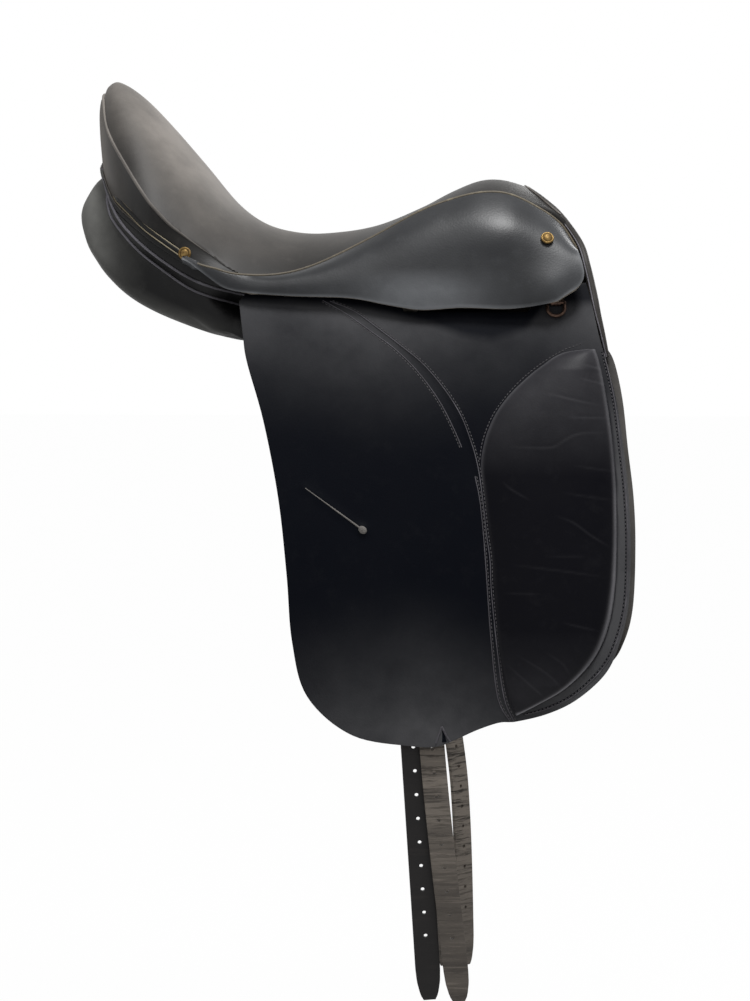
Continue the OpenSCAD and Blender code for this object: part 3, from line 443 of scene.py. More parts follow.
# Skirts of black bridle leather with a waxed, slightly blue face
skirt_bridle = leather("skirt_bridle_leather", "#0f1013", "#606265", 0.33, 0.24, wear=0.1)
# Flaps of blue-black bridle leather, rubbed grey by girth and boot at the foot, with a painted sheen at the top and
# painted shadow under the skirt
flap_bridle = leather("flap_bridle_leather", "#05070e", "#505052", 0.46, 0.04, wear=0.03)
# Soft calf over the knee rolls
knee_calf = leather("knee_roll_calf", "#06060c", "#77767a", 0.36, 0.06, wear=0.02)
# Panel leather, soft and matt; on the panels paler at the rear as a painted sheen and along the lower edge as painted
# light bounced from below
panel_calf = leather("panel_calf", "#0a0a0b", "#787875", 0.42, 0.18, wear=0.06)
# Sweat flaps of plain brown-black harness leather
sweat_hide = leather("sweat_flap_leather", "#171615", "#5a5754", 0.5, 0.2, wear=0.3)
# Cut edges, burnished and rubbed pale, their paleness also a painted highlight along the edge
cut_edge = leather("burnished_edge_and_highlight", "#38332f", "#8a8278", 0.5, 0.4, wear=0.8)
# Sewn and turned edges of the flap, rubbed to a grey line
seam_edge = leather("rubbed_seam_edge", "#444246", "#85838a", 0.5, 0.2, grain=1, wear=0.8)
# Pale hide on the strap slit's lips and end knob, a painted highlight where their edges catch the light
slit_highlight_hide = leather("slit_painted_highlight", "#6e6b68", "#a5a19c", 0.8, 0.2, grain=1, grain_depth=0.2, wear=0.8)
# Seams rolled in thin hide, rubbed through to the tan
worn_welt = leather("rubbed_welt_hide", "#4a4338", "#8f8672", 0.5, 0.3, grain=1, wear=1)
# Lining of brown hide, flesh side out
lining_hide = leather("lining_hide", "#241c17", "#4c3f34", 0.75, 0.2, wear=0.6)
# Girth straps of oiled harness leather, cracked across by buckling
strap_dark = leather("strap_dark_harness", "#141212", "#3a3634", 0.5, 0.25, wear=0.5, grain_depth=0.12,
                     streak=(0.35, 0.35, 2.2))
strap_grey = leather("strap_rubbed_harness", "#3c3733", "#857d74", 0.55, 0.3, wear=1, grain_depth=0.3,
                     streak=(0.25, 0.25, 4), cracks=True)
# Waxed linen thread, dark and dull, its twist just seen
linen_thread = fibre("waxed_linen_thread", "#363437", "#5a585a", (0.6, 0.6, 0.6), 0.1, 0.7)
# Turned brass of the nails, brown in the hollows
old_brass = metal("aged_brass", "#8c7448", "#4a3826", 0.46)
# Cast brass of the dee rings, gone coppery and dull
dee_brass = metal("coppery_brass", "#54433a", "#2c2320", 0.42)
# Forged steel of the stirrup bars, grey and half bright
bar_steel = metal("forged_steel", "#8d8c8a", "#4c4845", 0.4)
# Drawn steel of the rivets, a little brighter
rivet_steel = metal("rivet_steel", "#9a9a98", "#5a5754", 0.35)
# Rolled spring steel, blued by its heat
spring_steel = metal("blued_spring_steel", "#5b6068", "#33363b", 0.35)
# Glued beech of the tree, grain along its length
tree_beech = fibre("laminated_beech", "#b08a5c", "#8a6238", (60, 3, 3), 0.15, 0.6)
# Woven linen web, coarse and undyed
linen_web = fibre("linen_webbing", "#cdbf9f", "#a08f6c", (3, 3, 3), 0.3)
# Pressed felt, dark and without shine
packing_felt = fibre("packing_felt", "#2e2925", "#1d1a17", (2, 2, 2), 0.3, 0.95)
FINISH_OF_SLOT = {"tree_wood": tree_beech, "spring_steel": spring_steel, "rivet_steel": rivet_steel,
                  "bar_steel": bar_steel, "linen_web": linen_web, "lining_leather": lining_hide,
                  "strap_leather": strap_dark, "felt": packing_felt, "brass": dee_brass}


# Seat: leather drawn tight over foam, closed below, with a folded rim
def drawn_in(x):
    """The seat's back end lies a little inside the wall below it."""
    return x + 2.6 * ramp(x, -200, -227) ** 2


def fold_t(x):
    return np.minimum(1, fair(x, FOLD_T))


def sunk(x):
    """How far the seat's edge lies in under its fold."""
    return (3 + 6 * ramp(x, -94, -106)) * np.clip((1 - fold_t(x)) / 0.015, 0, 1)


def seat_wear_and_sheen(p):
    """Paler most on the inner slope of the cantle, least at the sides: wear by the rider together with a painted sheen
    where the slope catches the light.
    """
    across = np.abs(p[:, 1]) / np.maximum(seat_half(np.clip(p[:, 0], -226, 246)), 1)
    inner = np.clip((0.95 - across) / np.interp(p[:, 0], [-140, -80], [0.4, 0.9]), 0, 1)
    least = np.interp(p[:, 0], [-226, -185], [0.5, 0.12])
    most = np.interp(p[:, 0], [-230, -150, -80, -20, 150, 250], [0.5, 1, 0.5, 0.4, 0.12, 0.1])
    return most * (least + (1 - least) * inner)


u, v = np.meshgrid(np.linspace(0, 1, 151), np.linspace(-90, 90, 73))
x, t = -227.2 + 405.2 * (0.25 * u + 0.75 * u * u), np.sin(np.radians(v))
tucked = np.sign(t) * sunk(x) * np.clip((np.abs(t) - fold_t(x)) / np.maximum(0.004, 0.5 - 0.5 * fold_t(x)), 0, 1)
top = np.stack([drawn_in(x), t * seat_half(x) - tucked, seat_z(x, t)], -1)
foam = fair(x, FOAM) * (1 - np.abs(t) ** 4) * ramp(x, 174, 162) * ramp(x, -215, -195)
depth = SEAT_T + FOAM_T * foam
seat = piece("seat", shell(top, top - np.stack([0 * x, 0 * x, depth], -1), 1.3), [seat_calf], "tree",
             rub=seat_wear_and_sheen)
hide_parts("seat_cover", "seat_foam")


# Cantle wall under the rolled rim, and the strips that end at the rear nails
def round_cantle(at, tip, n):
    """Line round the cantle from the left over the tip to the right, by the left half's points."""
    left = at(np.linspace(-73, -226, 60))
    return spaced(np.vstack([left, [tip], (left * [1, -1, 1])[::-1]]), n)


def wall_foot(x):
    return np.stack([x, 0 * x, 0 * x], -1) + fair(x, WALL_FOOT)


def tip_lift(x):
    return 5 * hump(x, -227, 7)


def fold_line(x, out, up):
    t = fold_t(x)
    return np.stack([drawn_in(x), t * seat_half(x) + out, seat_z(x, t) + tip_lift(x) + up], -1)


rim = round_cantle(lambda x: fold_line(x, 0.3, 0), (-224.6, 0, 217), 140)
foot = round_cantle(wall_foot, (-225.5, 0, 151), 140)
v = np.linspace(0, 1, 15)[:, None, None]
outward = np.stack([rim[:, 0] + 110, rim[:, 1], 0 * rim[:, 2]], -1)
outward /= np.linalg.norm(outward, axis=1, keepdims=True)
bulge = np.convolve(np.pad(np.where(np.abs(rim[:, 1]) < 50, 5, -0.5), 15, "edge"), np.ones(31) / 31, "valid")
wall = rim * (1 - v) + foot * v + outward * (bulge[:, None] * np.sin(math.pi * v ** 0.6))
# The wall is painted paler towards the cantle's tip as a highlight
cantle = piece("cantle_wall", shell(wall, wall - outward * SEAT_T), [seat_calf], "tree",
               rub=lambda p: np.interp(p[:, 0], [-228, -208, -180], [1.3, 0.4, 0]))
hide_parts("cantle_facing")
fold = round_cantle(lambda x: fold_line(x, -0.2, -0.4), (-225.4, 0, 219.2), 180)
thin = np.clip((92 - np.abs(np.linspace(-92, 92, 181))) / 30, 0.15, 1)
# The fold is painted paler towards the rear as a highlight along its ridge
piece("cantle_fold", tube(fold, 1.6 * thin, 8), [seat_calf], "tree",
      rub=lambda p: np.interp(p[:, 0], [-226, -150, -90], [1, 0.5, 0.2]))
hidden = 10
below = foot[hidden:-hidden] - outward[hidden:-hidden] * 0.5 - [0, 0, 3]
welt = piece("cantle_welt_roll", tube(below, 3.2, 12), [panel_calf], "tree")
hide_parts("cantle_welt")
upper = below + outward[hidden:-hidden] * 1.2 + [0, 0, 3.2]
piece("cantle_welt_edge", tube(upper, 0.8, 6), [cut_edge], "tree")
for side, s, flip in SIDES:
    xs = np.linspace(-203, -124, 60)
    at_foot, z = wall_foot(xs), fair(xs, STRIP)
    line = np.stack([xs, at_foot[:, 1] + 1.6 + 0.28 * np.maximum(0, z - at_foot[:, 2]), z], -1) * flip
    taper = 2.3 * np.sqrt(np.clip((np.arange(60) + 0.6) / 4, 0, 1))
    piece(f"cantle_strip_{side}", tube(line, taper, 12, up=(0, -s, 0.3), squeeze=0.6), [panel_calf],
          "tree")
    bm = bmesh.new()
    for k in (-1, 1):
        join(bm, tube(line + k * taper[:, None] * [0.6, 0, 0.8] + [0, 0.7 * s, 0], 0.6, 6))
    piece(f"cantle_strip_edges_{side}", bm, [worn_welt], "tree", rub=0.7)


# Skirts: one leather each from the welt over the stirrup bar to the free edge
def fold_at(x):
    return FOLD_A + (FOLD_B - FOLD_A) * ((x - FOLD_A[0]) / (FOLD_B[0] - FOLD_A[0]))


def bowed(a, b, k, n):
    t = np.linspace(0, 1, n)[:, None]
    c = (a + b) / 2 + k * np.array([a[1] - b[1], b[0] - a[0]])
    return a * (1 - t) ** 2 + 2 * c * t * (1 - t) + b * t * t


def skirt_profile(x, n):
    """Section of a skirt at x as n + 1 points of y, z from the welt down."""
    head = np.array([seat_half(np.array(x)) + 2 * WELT_R + 5 * GAP - 1.2, fair(x, SEAT)[2] - 1.2 - fair(x, SKIRT_DROP)])
    z = fair(x, SKIRT_EDGE)
    fold = fold_at(max(x, -60))
    low = np.array([fold[1] + 0.25 * (fold[2] - z), z])
    if x < -60:
        w = min(1, (-60 - x) / 60)
        low[0] = low[0] * (1 - w) + w * (head[0] + 1.5)
        line = bowed(head, low, 0.22 * (1 - w), 24)
    else:
        line = np.vstack([bowed(head, fold[1:], 0.22, 16)[:-1], bowed(fold[1:], low, 0.11, 12)])
    line = spaced(line, n)
    for _ in range(24):
        line[1:-1] = (line[:-2] + 2 * line[1:-1] + line[2:]) / 4
    return line


rows = 30
known = np.linspace(-127, 253, 191)
sections = np.array([skirt_profile(x, rows) for x in known])
fore = fair(np.linspace(0, 1, rows + 1), SKIRT_FORE)
x = -127 + (fore[None] + 127) * np.linspace(0, 1, 191)[:, None]
skirt_face = np.stack([x] + [np.stack([np.interp(x[:, j], known, sections[:, j, k]) for j in range(rows + 1)], 1)
                             for k in (0, 1)], -1)
nose = ramp(x, 236, 251) ** 1.5 * np.sqrt(np.linspace(1, 0, rows + 1))
skirt_face[..., 2] -= 8 * nose
ease = 0.5 * np.maximum(ramp(x, 185, 225), ramp(x, -30, -70))[1:-1, 1:-1, None]
for _ in range(50):
    mean = (skirt_face[:-2, 1:-1] + skirt_face[2:, 1:-1] + skirt_face[1:-1, :-2] + skirt_face[1:-1, 2:]) / 4
    skirt_face[1:-1, 1:-1] += ease * (mean - skirt_face[1:-1, 1:-1])
z = skirt_face[..., 2]
swollen = 3 * hump(x, 172, 30) * hump(z, 72, 22) + 5 * hump(x, 226, 24) * hump(z, 22, 20)
skirt_face = lowered(skirt_face, -swollen, (0, 1, 0.4))
skirt_back = lowered(skirt_face, SKIRT_T, (0, 1, 0.4))
skirt_back[..., 1] -= 3.2 * ramp(x, -88, -118)
skirt_rim = np.vstack([skirt_face[::3, -1], skirt_face[-1, :rows // 3:-2]])[:, [0, 2]]


def skirt_wear_and_highlights(p):
    # Painted highlight in a thin line along the lower edge and in a band low down near x = 100 mm; a little even wear
    # everywhere, and paler at the front end
    near, _ = away_from(p[:, 0], p[:, 2], skirt_rim)
    band = hump(p[:, 0], 100, 50) * ramp(p[:, 2], 44, 22)
    return 0.1 + 0.7 * hump(near, 0, 1.6) + 0.75 * band + 0.2 * ramp(p[:, 0], 200, 230)


for side, s, flip in SIDES:
    bm = shell(skirt_face * flip, skirt_back * flip, 0.9, 1)
    for f in bm.faces:
        if f.calc_center_median().x < -98 * MM:
            f.material_index = 0
    skirt = piece(f"skirt_leather_{side}", bm, [skirt_bridle, cut_edge], rub=skirt_wear_and_highlights)
    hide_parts(f"skirt_top_{side}", f"skirt_{side}")
    mid = (FOLD_A + FOLD_B) / 2
    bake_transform(skirt)
    xs = np.linspace(-122, 246, 160)
    line = np.stack([xs, seat_half(xs) + WELT_R - 0.4, fair(xs, SEAT)[:, 2] - 0.6 - fair(xs, SKIRT_DROP)], -1) * flip
    welt = piece(f"seat_welt_roll_{side}", tube(line, 0.75 * WELT_R, 10), [worn_welt], "tree")
    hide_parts(f"seat_welt_{side}")

# Leather over the tree head, its rolled front edge, and the facing that closes the front
u = np.linspace(-1, 1, 81)
front = fair(np.abs(u), HEAD_FRONT) * np.stack([1 + 0 * u, np.sign(u), 1 + 0 * u], -1)
t = np.linspace(0, 1, 25)[:, None]
rear_t = np.sin(u * math.pi / 2)
x = 176 + (front[:, 0] - 176) * t
y = rear_t * 60.5 * (1 - t) + front[:, 1] * t
z = seat_z(x, np.clip(y / seat_half(x), -1, 1)) - 0.3 * (1 - t)
z = z + (front[:, 2] - z[-1]) * t**2
band = np.stack([x, y, z], -1)
head = piece("head_leather", shell(band, band - np.array([0, 0, SEAT_T]), 0.9), [seat_calf], "tree",
             rub=seat_wear_and_sheen)
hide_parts("head_cover")
HEAD_SIDE = [(256, 69, 46), (261.5, 77, 23), (266, 85, 2), (271, 90, -18), (276, 94, -40)]
FACING_IN = [(192, 0, 97), (194, 26, 92), (198, 42, 79), (204, 46, 62), (212, 45, 48), (217, 45, 38), (219, 48, 22),
             (219, 57, 2), (219, 68, -18), (219, 79, -38)]
FACING_BACK = [(170, 0, 99), (172, 26, 94), (176, 42, 81), (184, 47, 65), (198, 47, 52), (214, 47, 40), (216, 50, 22),
               (216, 59, 2), (216, 70, -18), (216, 81, -38)]
outer = [(p[0], p[1], p[2] - 2) for p in fair(np.linspace(0, 1, 5), HEAD_FRONT)] + HEAD_SIDE


def arch(line):
    """The line of one side and its mirror image as one arch, from right to left."""
    half = spaced(flow(line, 6), 60)
    return np.vstack([half[:0:-1] * [1, -1, 1], half])


edge, inner, hind = arch(outer), arch(FACING_IN), arch(FACING_BACK)
bulged = (edge + inner) / 2 + [5, 0, 2]
rows = np.stack([flow([edge[i], bulged[i], inner[i], hind[i]], 8) for i in range(len(edge))], 1)
piece("head_facing", shell(rows, lowered(rows, 2.2, (1, 0, 0))), [panel_calf], "tree")
roll = edge + [-1.6, 0, -0.8]
thick = np.interp(np.abs(np.linspace(-1, 1, len(roll))), [0.75, 1], [4.2, 2.2])
piece("head_edge_roll", tube(roll, thick, 14, up=(1, 0, 0.3)), [seat_calf], "tree", rub=0.12)
for side, s, flip in SIDES:
    part = slice(78, None) if s > 0 else slice(0, 43)
    seam = roll[part] + thick[part, None] * [-0.4, 0.9 * s, 0.1]
    piece(f"head_edge_seam_{side}", tube(seam, 0.7, 6, up=(1, 0, 0.3)), [seam_edge], "tree", rub=0.4)
cream = band[20, 5:-5] + [0, 0, 0.5]
piece("head_edge_line", tube(cream, 0.9, 8, up=(1, 0, 0.3)), [cut_edge], "tree")

# Flaps: one sheet each, with the lapped front leather, the strap slit, marks of use, and a painted sheen and painted
# shadow near the top
SEAM_FRONT = flow([(2, 13), (24, 4), (45, -11), (66, -27), (88, -45), (107, -67), (123, -92), (133, -118), (139, -141),
                   (143, -171), (146, -202), (149, -226), (150, -255), (155, -308), (161, -351), (170, -372)], 5)
SEAM_REAR = flow([(-8, 12), (13, 0), (37, -17), (60, -34), (81, -55), (100, -81), (113, -106), (121, -125)], 5)
SEAM_LOW = flow([(136, -150), (140, -171), (143, -202), (145, -233), (149, -297), (155, -351), (166, -372)], 5)
KNEE_STITCH = flow([(139, -136), (142, -118), (151, -96), (163, -79), (179, -62), (198, -47), (220, -34),
                    (238, -28)], 5)
BORDER = flow([(256, -36), (264.5, -80), (269, -126), (272.5, -172), (273, -217), (270, -266), (261.5, -299),
               (249, -323), (224, -347), (199, -360), (177, -366.5)], 5)
PUCKER_LIPS = [[(102, -377), (99, -385), (96.5, -392)], [(102, -377), (106, -385), (110, -391)]]
PUCKER_CORE = flow([(102, -380), (103, -386), (103.5, -391)], 4)
SLIT_A, SLIT_B = np.array([-23, -161.0]), np.array([30, -199.0])


def flap_relief(x, z):
    """Height of the flap's face over its plain thickness, in mm."""
    r, side = away_from(x, z, (SEAM_FRONT + np.array([-3.5, -1.5])))
    lap = np.clip(0.5 + side * r / 2.4, 0, 1)
    h = 0.9 * lap * lap * (3 - 2 * lap)
    r, _ = away_from(x, z, np.array([SLIT_A, SLIT_B]))
    h = h + 0.7 * hump(r, 0, 4.5)
    end = np.hypot(x - SLIT_B[0], z - SLIT_B[1])
    h = h + 1.6 * hump(end, 0, 5)
    h = h + 2.2 * hump(x, 100, 9) * ramp(z, -330, -390) ** 2
    h = h + 0.8 * np.sin(x / 37 + z / 61) * ramp(z, -60, -260)
    return h


def on_flap(line, lift):
    """Points of the left flap's face along a line of the side plane, lifted off it."""
    x, z = np.array(line, float).T
    return on_side(x, z, FLAP_T + flap_relief(x, z) + lift)


def flap_wear_sheen_and_shadow(p):
    x, z = flat_on_side(p)
    wave = 11 * np.sin(x / 38)
    foot = 0.8 * ramp(z - wave, -248, -388) ** 2 * np.interp(x, [-30, 40, 95, 150], [0.8, 0.85, 1.15, 1])
    # Painted sheen on the upper flap, which leans out towards the light
    head = 0.7 * ramp(z + wave, -132, 0) ** 2 * np.interp(x, [20, 120, 190, 250], [1, 0.75, 0.7, 1])
    # Painted shadow under the skirt's lower edge: the sheen is taken out above this line
    under_skirt_shadow_line = np.interp(x, [-40, 38, 98, 125, 153, 185, 205], [12, 4, -10, -20, -24, -14, 10])
    head = head * (1 - 0.95 * np.clip((z - under_skirt_shadow_line) / 9 + 0.5, 0, 1))
    ahead = x - fair(np.clip(-z, 33, 367), KNEE_FRONT)
    border = np.clip(ahead / 2, 0, 1) * ramp(z, -40, -140) * ramp(z, -395, -355)
    return np.maximum(np.maximum(foot, head), border)


def outline(rear, foot, front):
    """Foot, rear and front lines of a leather, cut from one smooth line round all three."""
    line = flow(rear + foot[1:] + front[-2::-1], 8)
    a, b = 8 * (len(rear) - 1), 8 * (len(rear) + len(foot) - 2)
    return line[a:b + 1], line[:a + 1], line[b:][::-1]


plan = patch(np.array(FLAP_HEAD, float), *outline(FLAP_REAR, FLAP_FOOT, FLAP_FRONT), 150, 180)
x, z = plan[..., 0], plan[..., 1]
flap_face = on_side(x, z, FLAP_T + flap_relief(x, z))
flap_back = on_side(x, z, 0 * x)
plan = patch(np.array(SWEAT_HEAD, float), *outline(SWEAT_REAR, SWEAT_FOOT, SWEAT_FRONT), 90, 110)
x, z = plan[..., 0], plan[..., 1]
sweat_face, sweat_back = on_side(x, z, SWEAT_OUT + 0 * x), on_side(x, z, SWEAT_OUT - SWEAT_T + 0 * x)
for side, s, flip in SIDES:
    flap = piece(f"flap_leather_{side}", shell(flap_face * flip, flap_back * flip, 1.2, 1),
                 [flap_bridle, cut_edge], rub=flap_wear_sheen_and_shadow)
    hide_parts(f"flap_top_{side}", f"flap_{side}")
    face = (0, s, 0.2)
    bm = bmesh.new()
    for line in (SEAM_FRONT, SEAM_REAR, SEAM_LOW, KNEE_STITCH, BORDER):
        path = on_flap(line, 0.1) * flip
        stitch_row(bm, path, on_flap(line, 1.1) * flip - path)
    sewing = piece(f"flap_stitching_{side}", bm, [linen_thread])
    bm = bmesh.new()
    for line, over in ((SEAM_FRONT, (-1.7, -0.8)), (SEAM_REAR, (1.5, 0.9)), (SEAM_LOW, (-1.5, -0.4)),
                       (BORDER, (1.9, -0.4))):
        join(bm, tube(on_flap(line + over, 0.1) * flip, 0.5, 6, up=face))
    for line in PUCKER_LIPS:
        join(bm, tube(flow(on_flap(line, 0.3) * flip, 4), 0.9, 6, up=face))
    edges = piece(f"flap_seam_edges_{side}", bm, [seam_edge])
    bm = tube(on_flap(BORDER, -0.9) * flip, 1.2, 8, up=face)
    core = on_flap(PUCKER_CORE, -0.6) * flip
    join(bm, tube(core, np.linspace(1.2, 3, len(core)), 8, up=face, squeeze=0.4))
    groove = piece(f"flap_groove_{side}", bm, [flap_bridle])
    for sheet in (flap, sewing, edges, groove):
        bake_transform(sheet)
    # The slit's lips and end knob are painted pale as highlights
    lip = on_flap(spaced([SLIT_A, SLIT_B], 24), 0.1) * flip
    bm = tube(lip, np.linspace(0.35, 0.9, 25), 8, up=face)
    turn = Matrix.Translation(Vector(lip[-1]) * MM) @ Matrix.Rotation(math.radians(-s * 36), 4, "Y")
    size = Matrix.Diagonal((4.2 * MM, 1.1 * MM, 3.4 * MM, 1))
    bmesh.ops.create_icosphere(bm, subdivisions=3, radius=1, matrix=turn @ size)
    piece(f"flap_slit_{side}", bm, [slit_highlight_hide], f"flap_{side}")
    # The sweat flap is painted paler along its front edge, a painted highlight on the band seen there
    sweat = piece(f"sweat_flap_leather_{side}", shell(sweat_face * flip, sweat_back * flip, 0.9, 1),
                  [sweat_hide, cut_edge], "tree",
                  rub=lambda p: 0.7 * ramp(flat_on_side(p)[0], 262, 276))
    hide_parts(f"sweat_flap_{side}")

# Knee rolls: stuffed rolls under soft calf, creased by the knee
CREASES = [([(202, -74), (215, -77), (227, -80), (252, -85)], 0.8),
           ([(168, -123), (189, -124), (207, -123), (217, -117), (231, -111), (257, -110)], 0.8),
           ([(160, -155), (166, -161), (183, -171)], 0.8),
           ([(209, -186), (224, -192), (239, -203), (257, -214)], 1.1), ([(199, -222), (234, -222)], 0.6),
           ([(166, -230), (210, -235), (253, -241)], 0.7), ([(160, -256), (192, -256)], 0.6),
           ([(213, -282), (246, -290)], 0.8), ([(170, -311), (198, -328), (213, -344)], 0.8),
           ([(198, -309), (213, -320), (219, -331)], 0.7), ([(161, -320), (181, -337), (200, -354)], 0.8),
           ([(240, -48), (258, -53)], 0.9), ([(234, -60), (260, -67)], 0.9), ([(222, -96), (261, -97)], 0.8),
           ([(225, -140), (264, -146)], 0.6), ([(216, -165), (262, -172)], 0.6)]


def crease_at(x, z, line):
    """Distance from a crease, with its side, and how full the crease is: it fades at both ends."""
    line = flow(line, 4)
    r, side = away_from(x, z, line)
    mid = (line[0] + line[-1]) / 2
    far = np.hypot(x - mid[0], z - mid[1]) / (length_of(line) / 2 + 3)
    return r * side, np.clip(1.6 * (1 - far), 0, 1)


u, v = np.meshgrid(np.linspace(0, 1, 49), np.linspace(0, 1, 121))
deep = 33 + 334 * (v - 0.04 * np.sin(2 * math.pi * v))
a, b = fair(deep, KNEE_SEAM), fair(deep, KNEE_FRONT)
x, z = a + (b - a) * (u - 0.05 * np.sin(2 * math.pi * u)), -deep
wide = np.clip((b - a) / 60, 0, 1) ** 0.6
lean = u ** 1.25
rise = 13 * wide * np.clip(np.sin(math.pi * lean), 0, 1) ** 0.6
held = np.zeros(u.shape, bool)
held[:2], held[-2:], held[:, :2], held[:, -2:] = True, True, True, True
knee_face = finer(swell(on_side(x, z, FLAP_T + 1.1 + rise), held, 4, 3))
rise, wide = (finer(np.stack([q] * 3, -1))[..., 0] for q in (rise, wide))
x, z = (q.reshape(rise.shape) for q in flat_on_side(knee_face.reshape(-1, 3)))
fall = 0 * x
for line, d in CREASES:
    r, full = crease_at(x, z, line)
    fall = fall + d * full * (0.9 * hump(r, 1.2, 1.4) - 0.7 * hump(r, -1.2, 1.6))
knee_face = lowered(knee_face, 0.24 * fall * wide * np.clip(rise / 6, 0, 1), (0, 1, 0))


def knee_wear_and_highlights(p):
    x, z = flat_on_side(p)
    deep = np.clip(-z, 33, 367)
    wide = np.interp(deep, [200, 320], [2.2, 3.6])
    # Painted highlight along the roll's front rim, strongest low down
    rim = hump(x, fair(deep, KNEE_FRONT) - 1, wide) * np.interp(deep, [33, 120, 200, 320], [0.45, 0.5, 1, 1.6])
    # Painted highlight on the ridge beside the rear seam
    seam = hump(x, fair(deep, KNEE_SEAM), 2) * np.interp(deep, [33, 150, 200], [0.5, 0.4, 0.1])
    lines = 0 * x
    for line, d in CREASES:
        r, full = crease_at(x, z, line)
        lines = lines + 0.045 * d * full * hump(r, 0, 0.9)
    # Painted sheen over the top of the roll, and paler towards its foot
    ends = 0.2 * ramp(z, -150, -35) + 0.1 * ramp(z, -290, -350)
    return 0.8 * rim + 0.5 * seam + lines + ends


knee_back = on_side(x, z, FLAP_T + 0.2 + 0 * x)
for side, s, flip in SIDES:
    knee = piece(f"knee_roll_pad_{side}", shell(knee_face * flip, knee_back * flip), [knee_calf],
                 f"flap_{side}", rub=knee_wear_and_highlights)
    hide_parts(f"knee_roll_{side}", f"knee_cover_{side}")

# Panels: flocked leather cushions either side of the channel, with piped seams
around = np.linspace(0, 2 * math.pi, 49)


def panel_points(xs, angle):
    """Points of the left panel's skin at stations xs and turns of its section."""
    corner = [fair(xs, [(p[0], p[1][k]) for p in PANEL]) for k in range(4)]
    for k, q in ((1, 0), (2, 3)):
        p = corner[k]
        for _ in range(5):
            out = ramp(xs, -76, -112)
            free = 18 * out * out * (3 - 2 * out)
            y = np.minimum(p[..., 0], side_y(xs, p[..., 1], SWEAT_OUT - SWEAT_T - GAP) + free)
            p = corner[q] + (p - corner[q]) * ((y - corner[q][..., 0]) / (p[..., 0] - corner[q][..., 0]))[..., None]
        corner[k] = p
    a, b, c, e = (q[:, None] for q in corner)
    cs, sn = np.cos(angle), np.sin(angle)
    u = (np.sign(cs) * np.abs(cs) ** 0.62 / 2 + 0.5)[..., None]
    v = (np.sign(sn) * np.abs(sn) ** 0.62 / 2 + 0.5)[..., None]
    p = (e * (1 - u) + c * u) * (1 - v) + (a * (1 - u) + b * u) * v
    return np.concatenate([np.broadcast_to(xs[:, None, None], p.shape[:2] + (1,)), p], -1)


xs = np.concatenate([-237 + 40 * np.linspace(0, 1, 20) ** 1.6, np.linspace(-197, 215, 90)[1:]])
skin = panel_points(xs, np.broadcast_to(around, (len(xs), 49)))
held = np.broadcast_to(np.sin(around) > 0.1, skin.shape[:2]).copy()
held[:3], held[-3:], held[:, 0], held[:, -1] = True, True, True, True
skin = swell(skin, held, 4, 4)
middle = skin[0].mean(0)
end = [[middle + (skin[0] - middle) * f - [k, 0, 0]] for f, k in ((0.12, 2.6), (0.45, 2.3), (0.72, 1.6), (0.9, 0.8))]
skin = np.vstack(end + [skin])
for _ in range(10):
    skin[1:30] += 0.5 * np.linspace(1, 0, 29)[:, None, None] * ((skin[:29] + skin[2:31]) / 2 - skin[1:30])
SEAM_LOW_PANEL = flow([(-64, 6), (-84, 11), (-104, 17), (-124, 25), (-147, 40), (-176, 62), (-203, 91), (-211, 110)], 4)


def panel_at(x, z):
    """Point of the left panel's outer face at x and height z."""
    ring = panel_points(np.array([x]), np.radians(np.linspace(-30, 90, 121))[None])[0]
    return np.array([x, np.interp(z, ring[:, 2], ring[:, 1]), z])


def panel_painted_light(p):
    # Painted sheen at the rear end
    back = np.interp(p[:, 0], [-236, -222, -195, -165], [1, 0.8, 0.2, 0])
    above = p[:, 2] - fair(p[:, 0], [(q[0], q[1][2][1]) for q in PANEL])
    # Painted light bounced from below along the lower edge
    low = 0.7 * np.clip(1 - above / 24, 0, 1) * ramp(p[:, 0], -80, -120)
    return np.maximum(back, low)


low_line = spaced(flow([panel_at(*q) for q in SEAM_LOW_PANEL] + [(-217.5, 40, 131), (-222, 30, 144)], 4), 89)
upper = wall_foot(np.linspace(-64, -226, 90)) - [0, 1.5, 3]
upper[:, 1] -= 4 * ramp(upper[:, 0], -92, -72)
gusset = np.stack([flow([a, (a + b) / 2 + np.array([-0.8, 2.5, 0]), b], 6) for a, b in zip(upper, low_line)], 1)
at = np.interp(np.arange(90), [0, 60, 89], [7, 7, 5])
upper_seam = np.array([flow(gusset[:, i], 4)[int(4 * k)] for i, k in enumerate(at)])
for side, s, flip in SIDES:
    bm = bmesh.new()
    add_grid(bm, skin * flip)
    close(bm)
    panel = piece(f"panel_{side}", bm, [panel_calf], "tree", rub=panel_painted_light)
    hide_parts(f"panel_cover_{side}", f"panel_flock_{side}")
    piece(f"panel_gusset_{side}", shell(gusset * flip, lowered(gusset, 2, (-0.3, 1, 0.2)) * flip), [panel_calf],
          "tree", rub=panel_painted_light)
    for name, seam in (("lower", low_line), ("upper", spaced(upper_seam, 120))):
        piece(f"panel_piping_{name}_{side}", tube((seam + [-0.3, 0.5, 0]) * flip, PIPING_R, 8), [seam_edge],
              "tree", rub=lambda p: np.interp(p[:, 0], [-220, -140, -90], [1.2, 0.5, 0.1]))

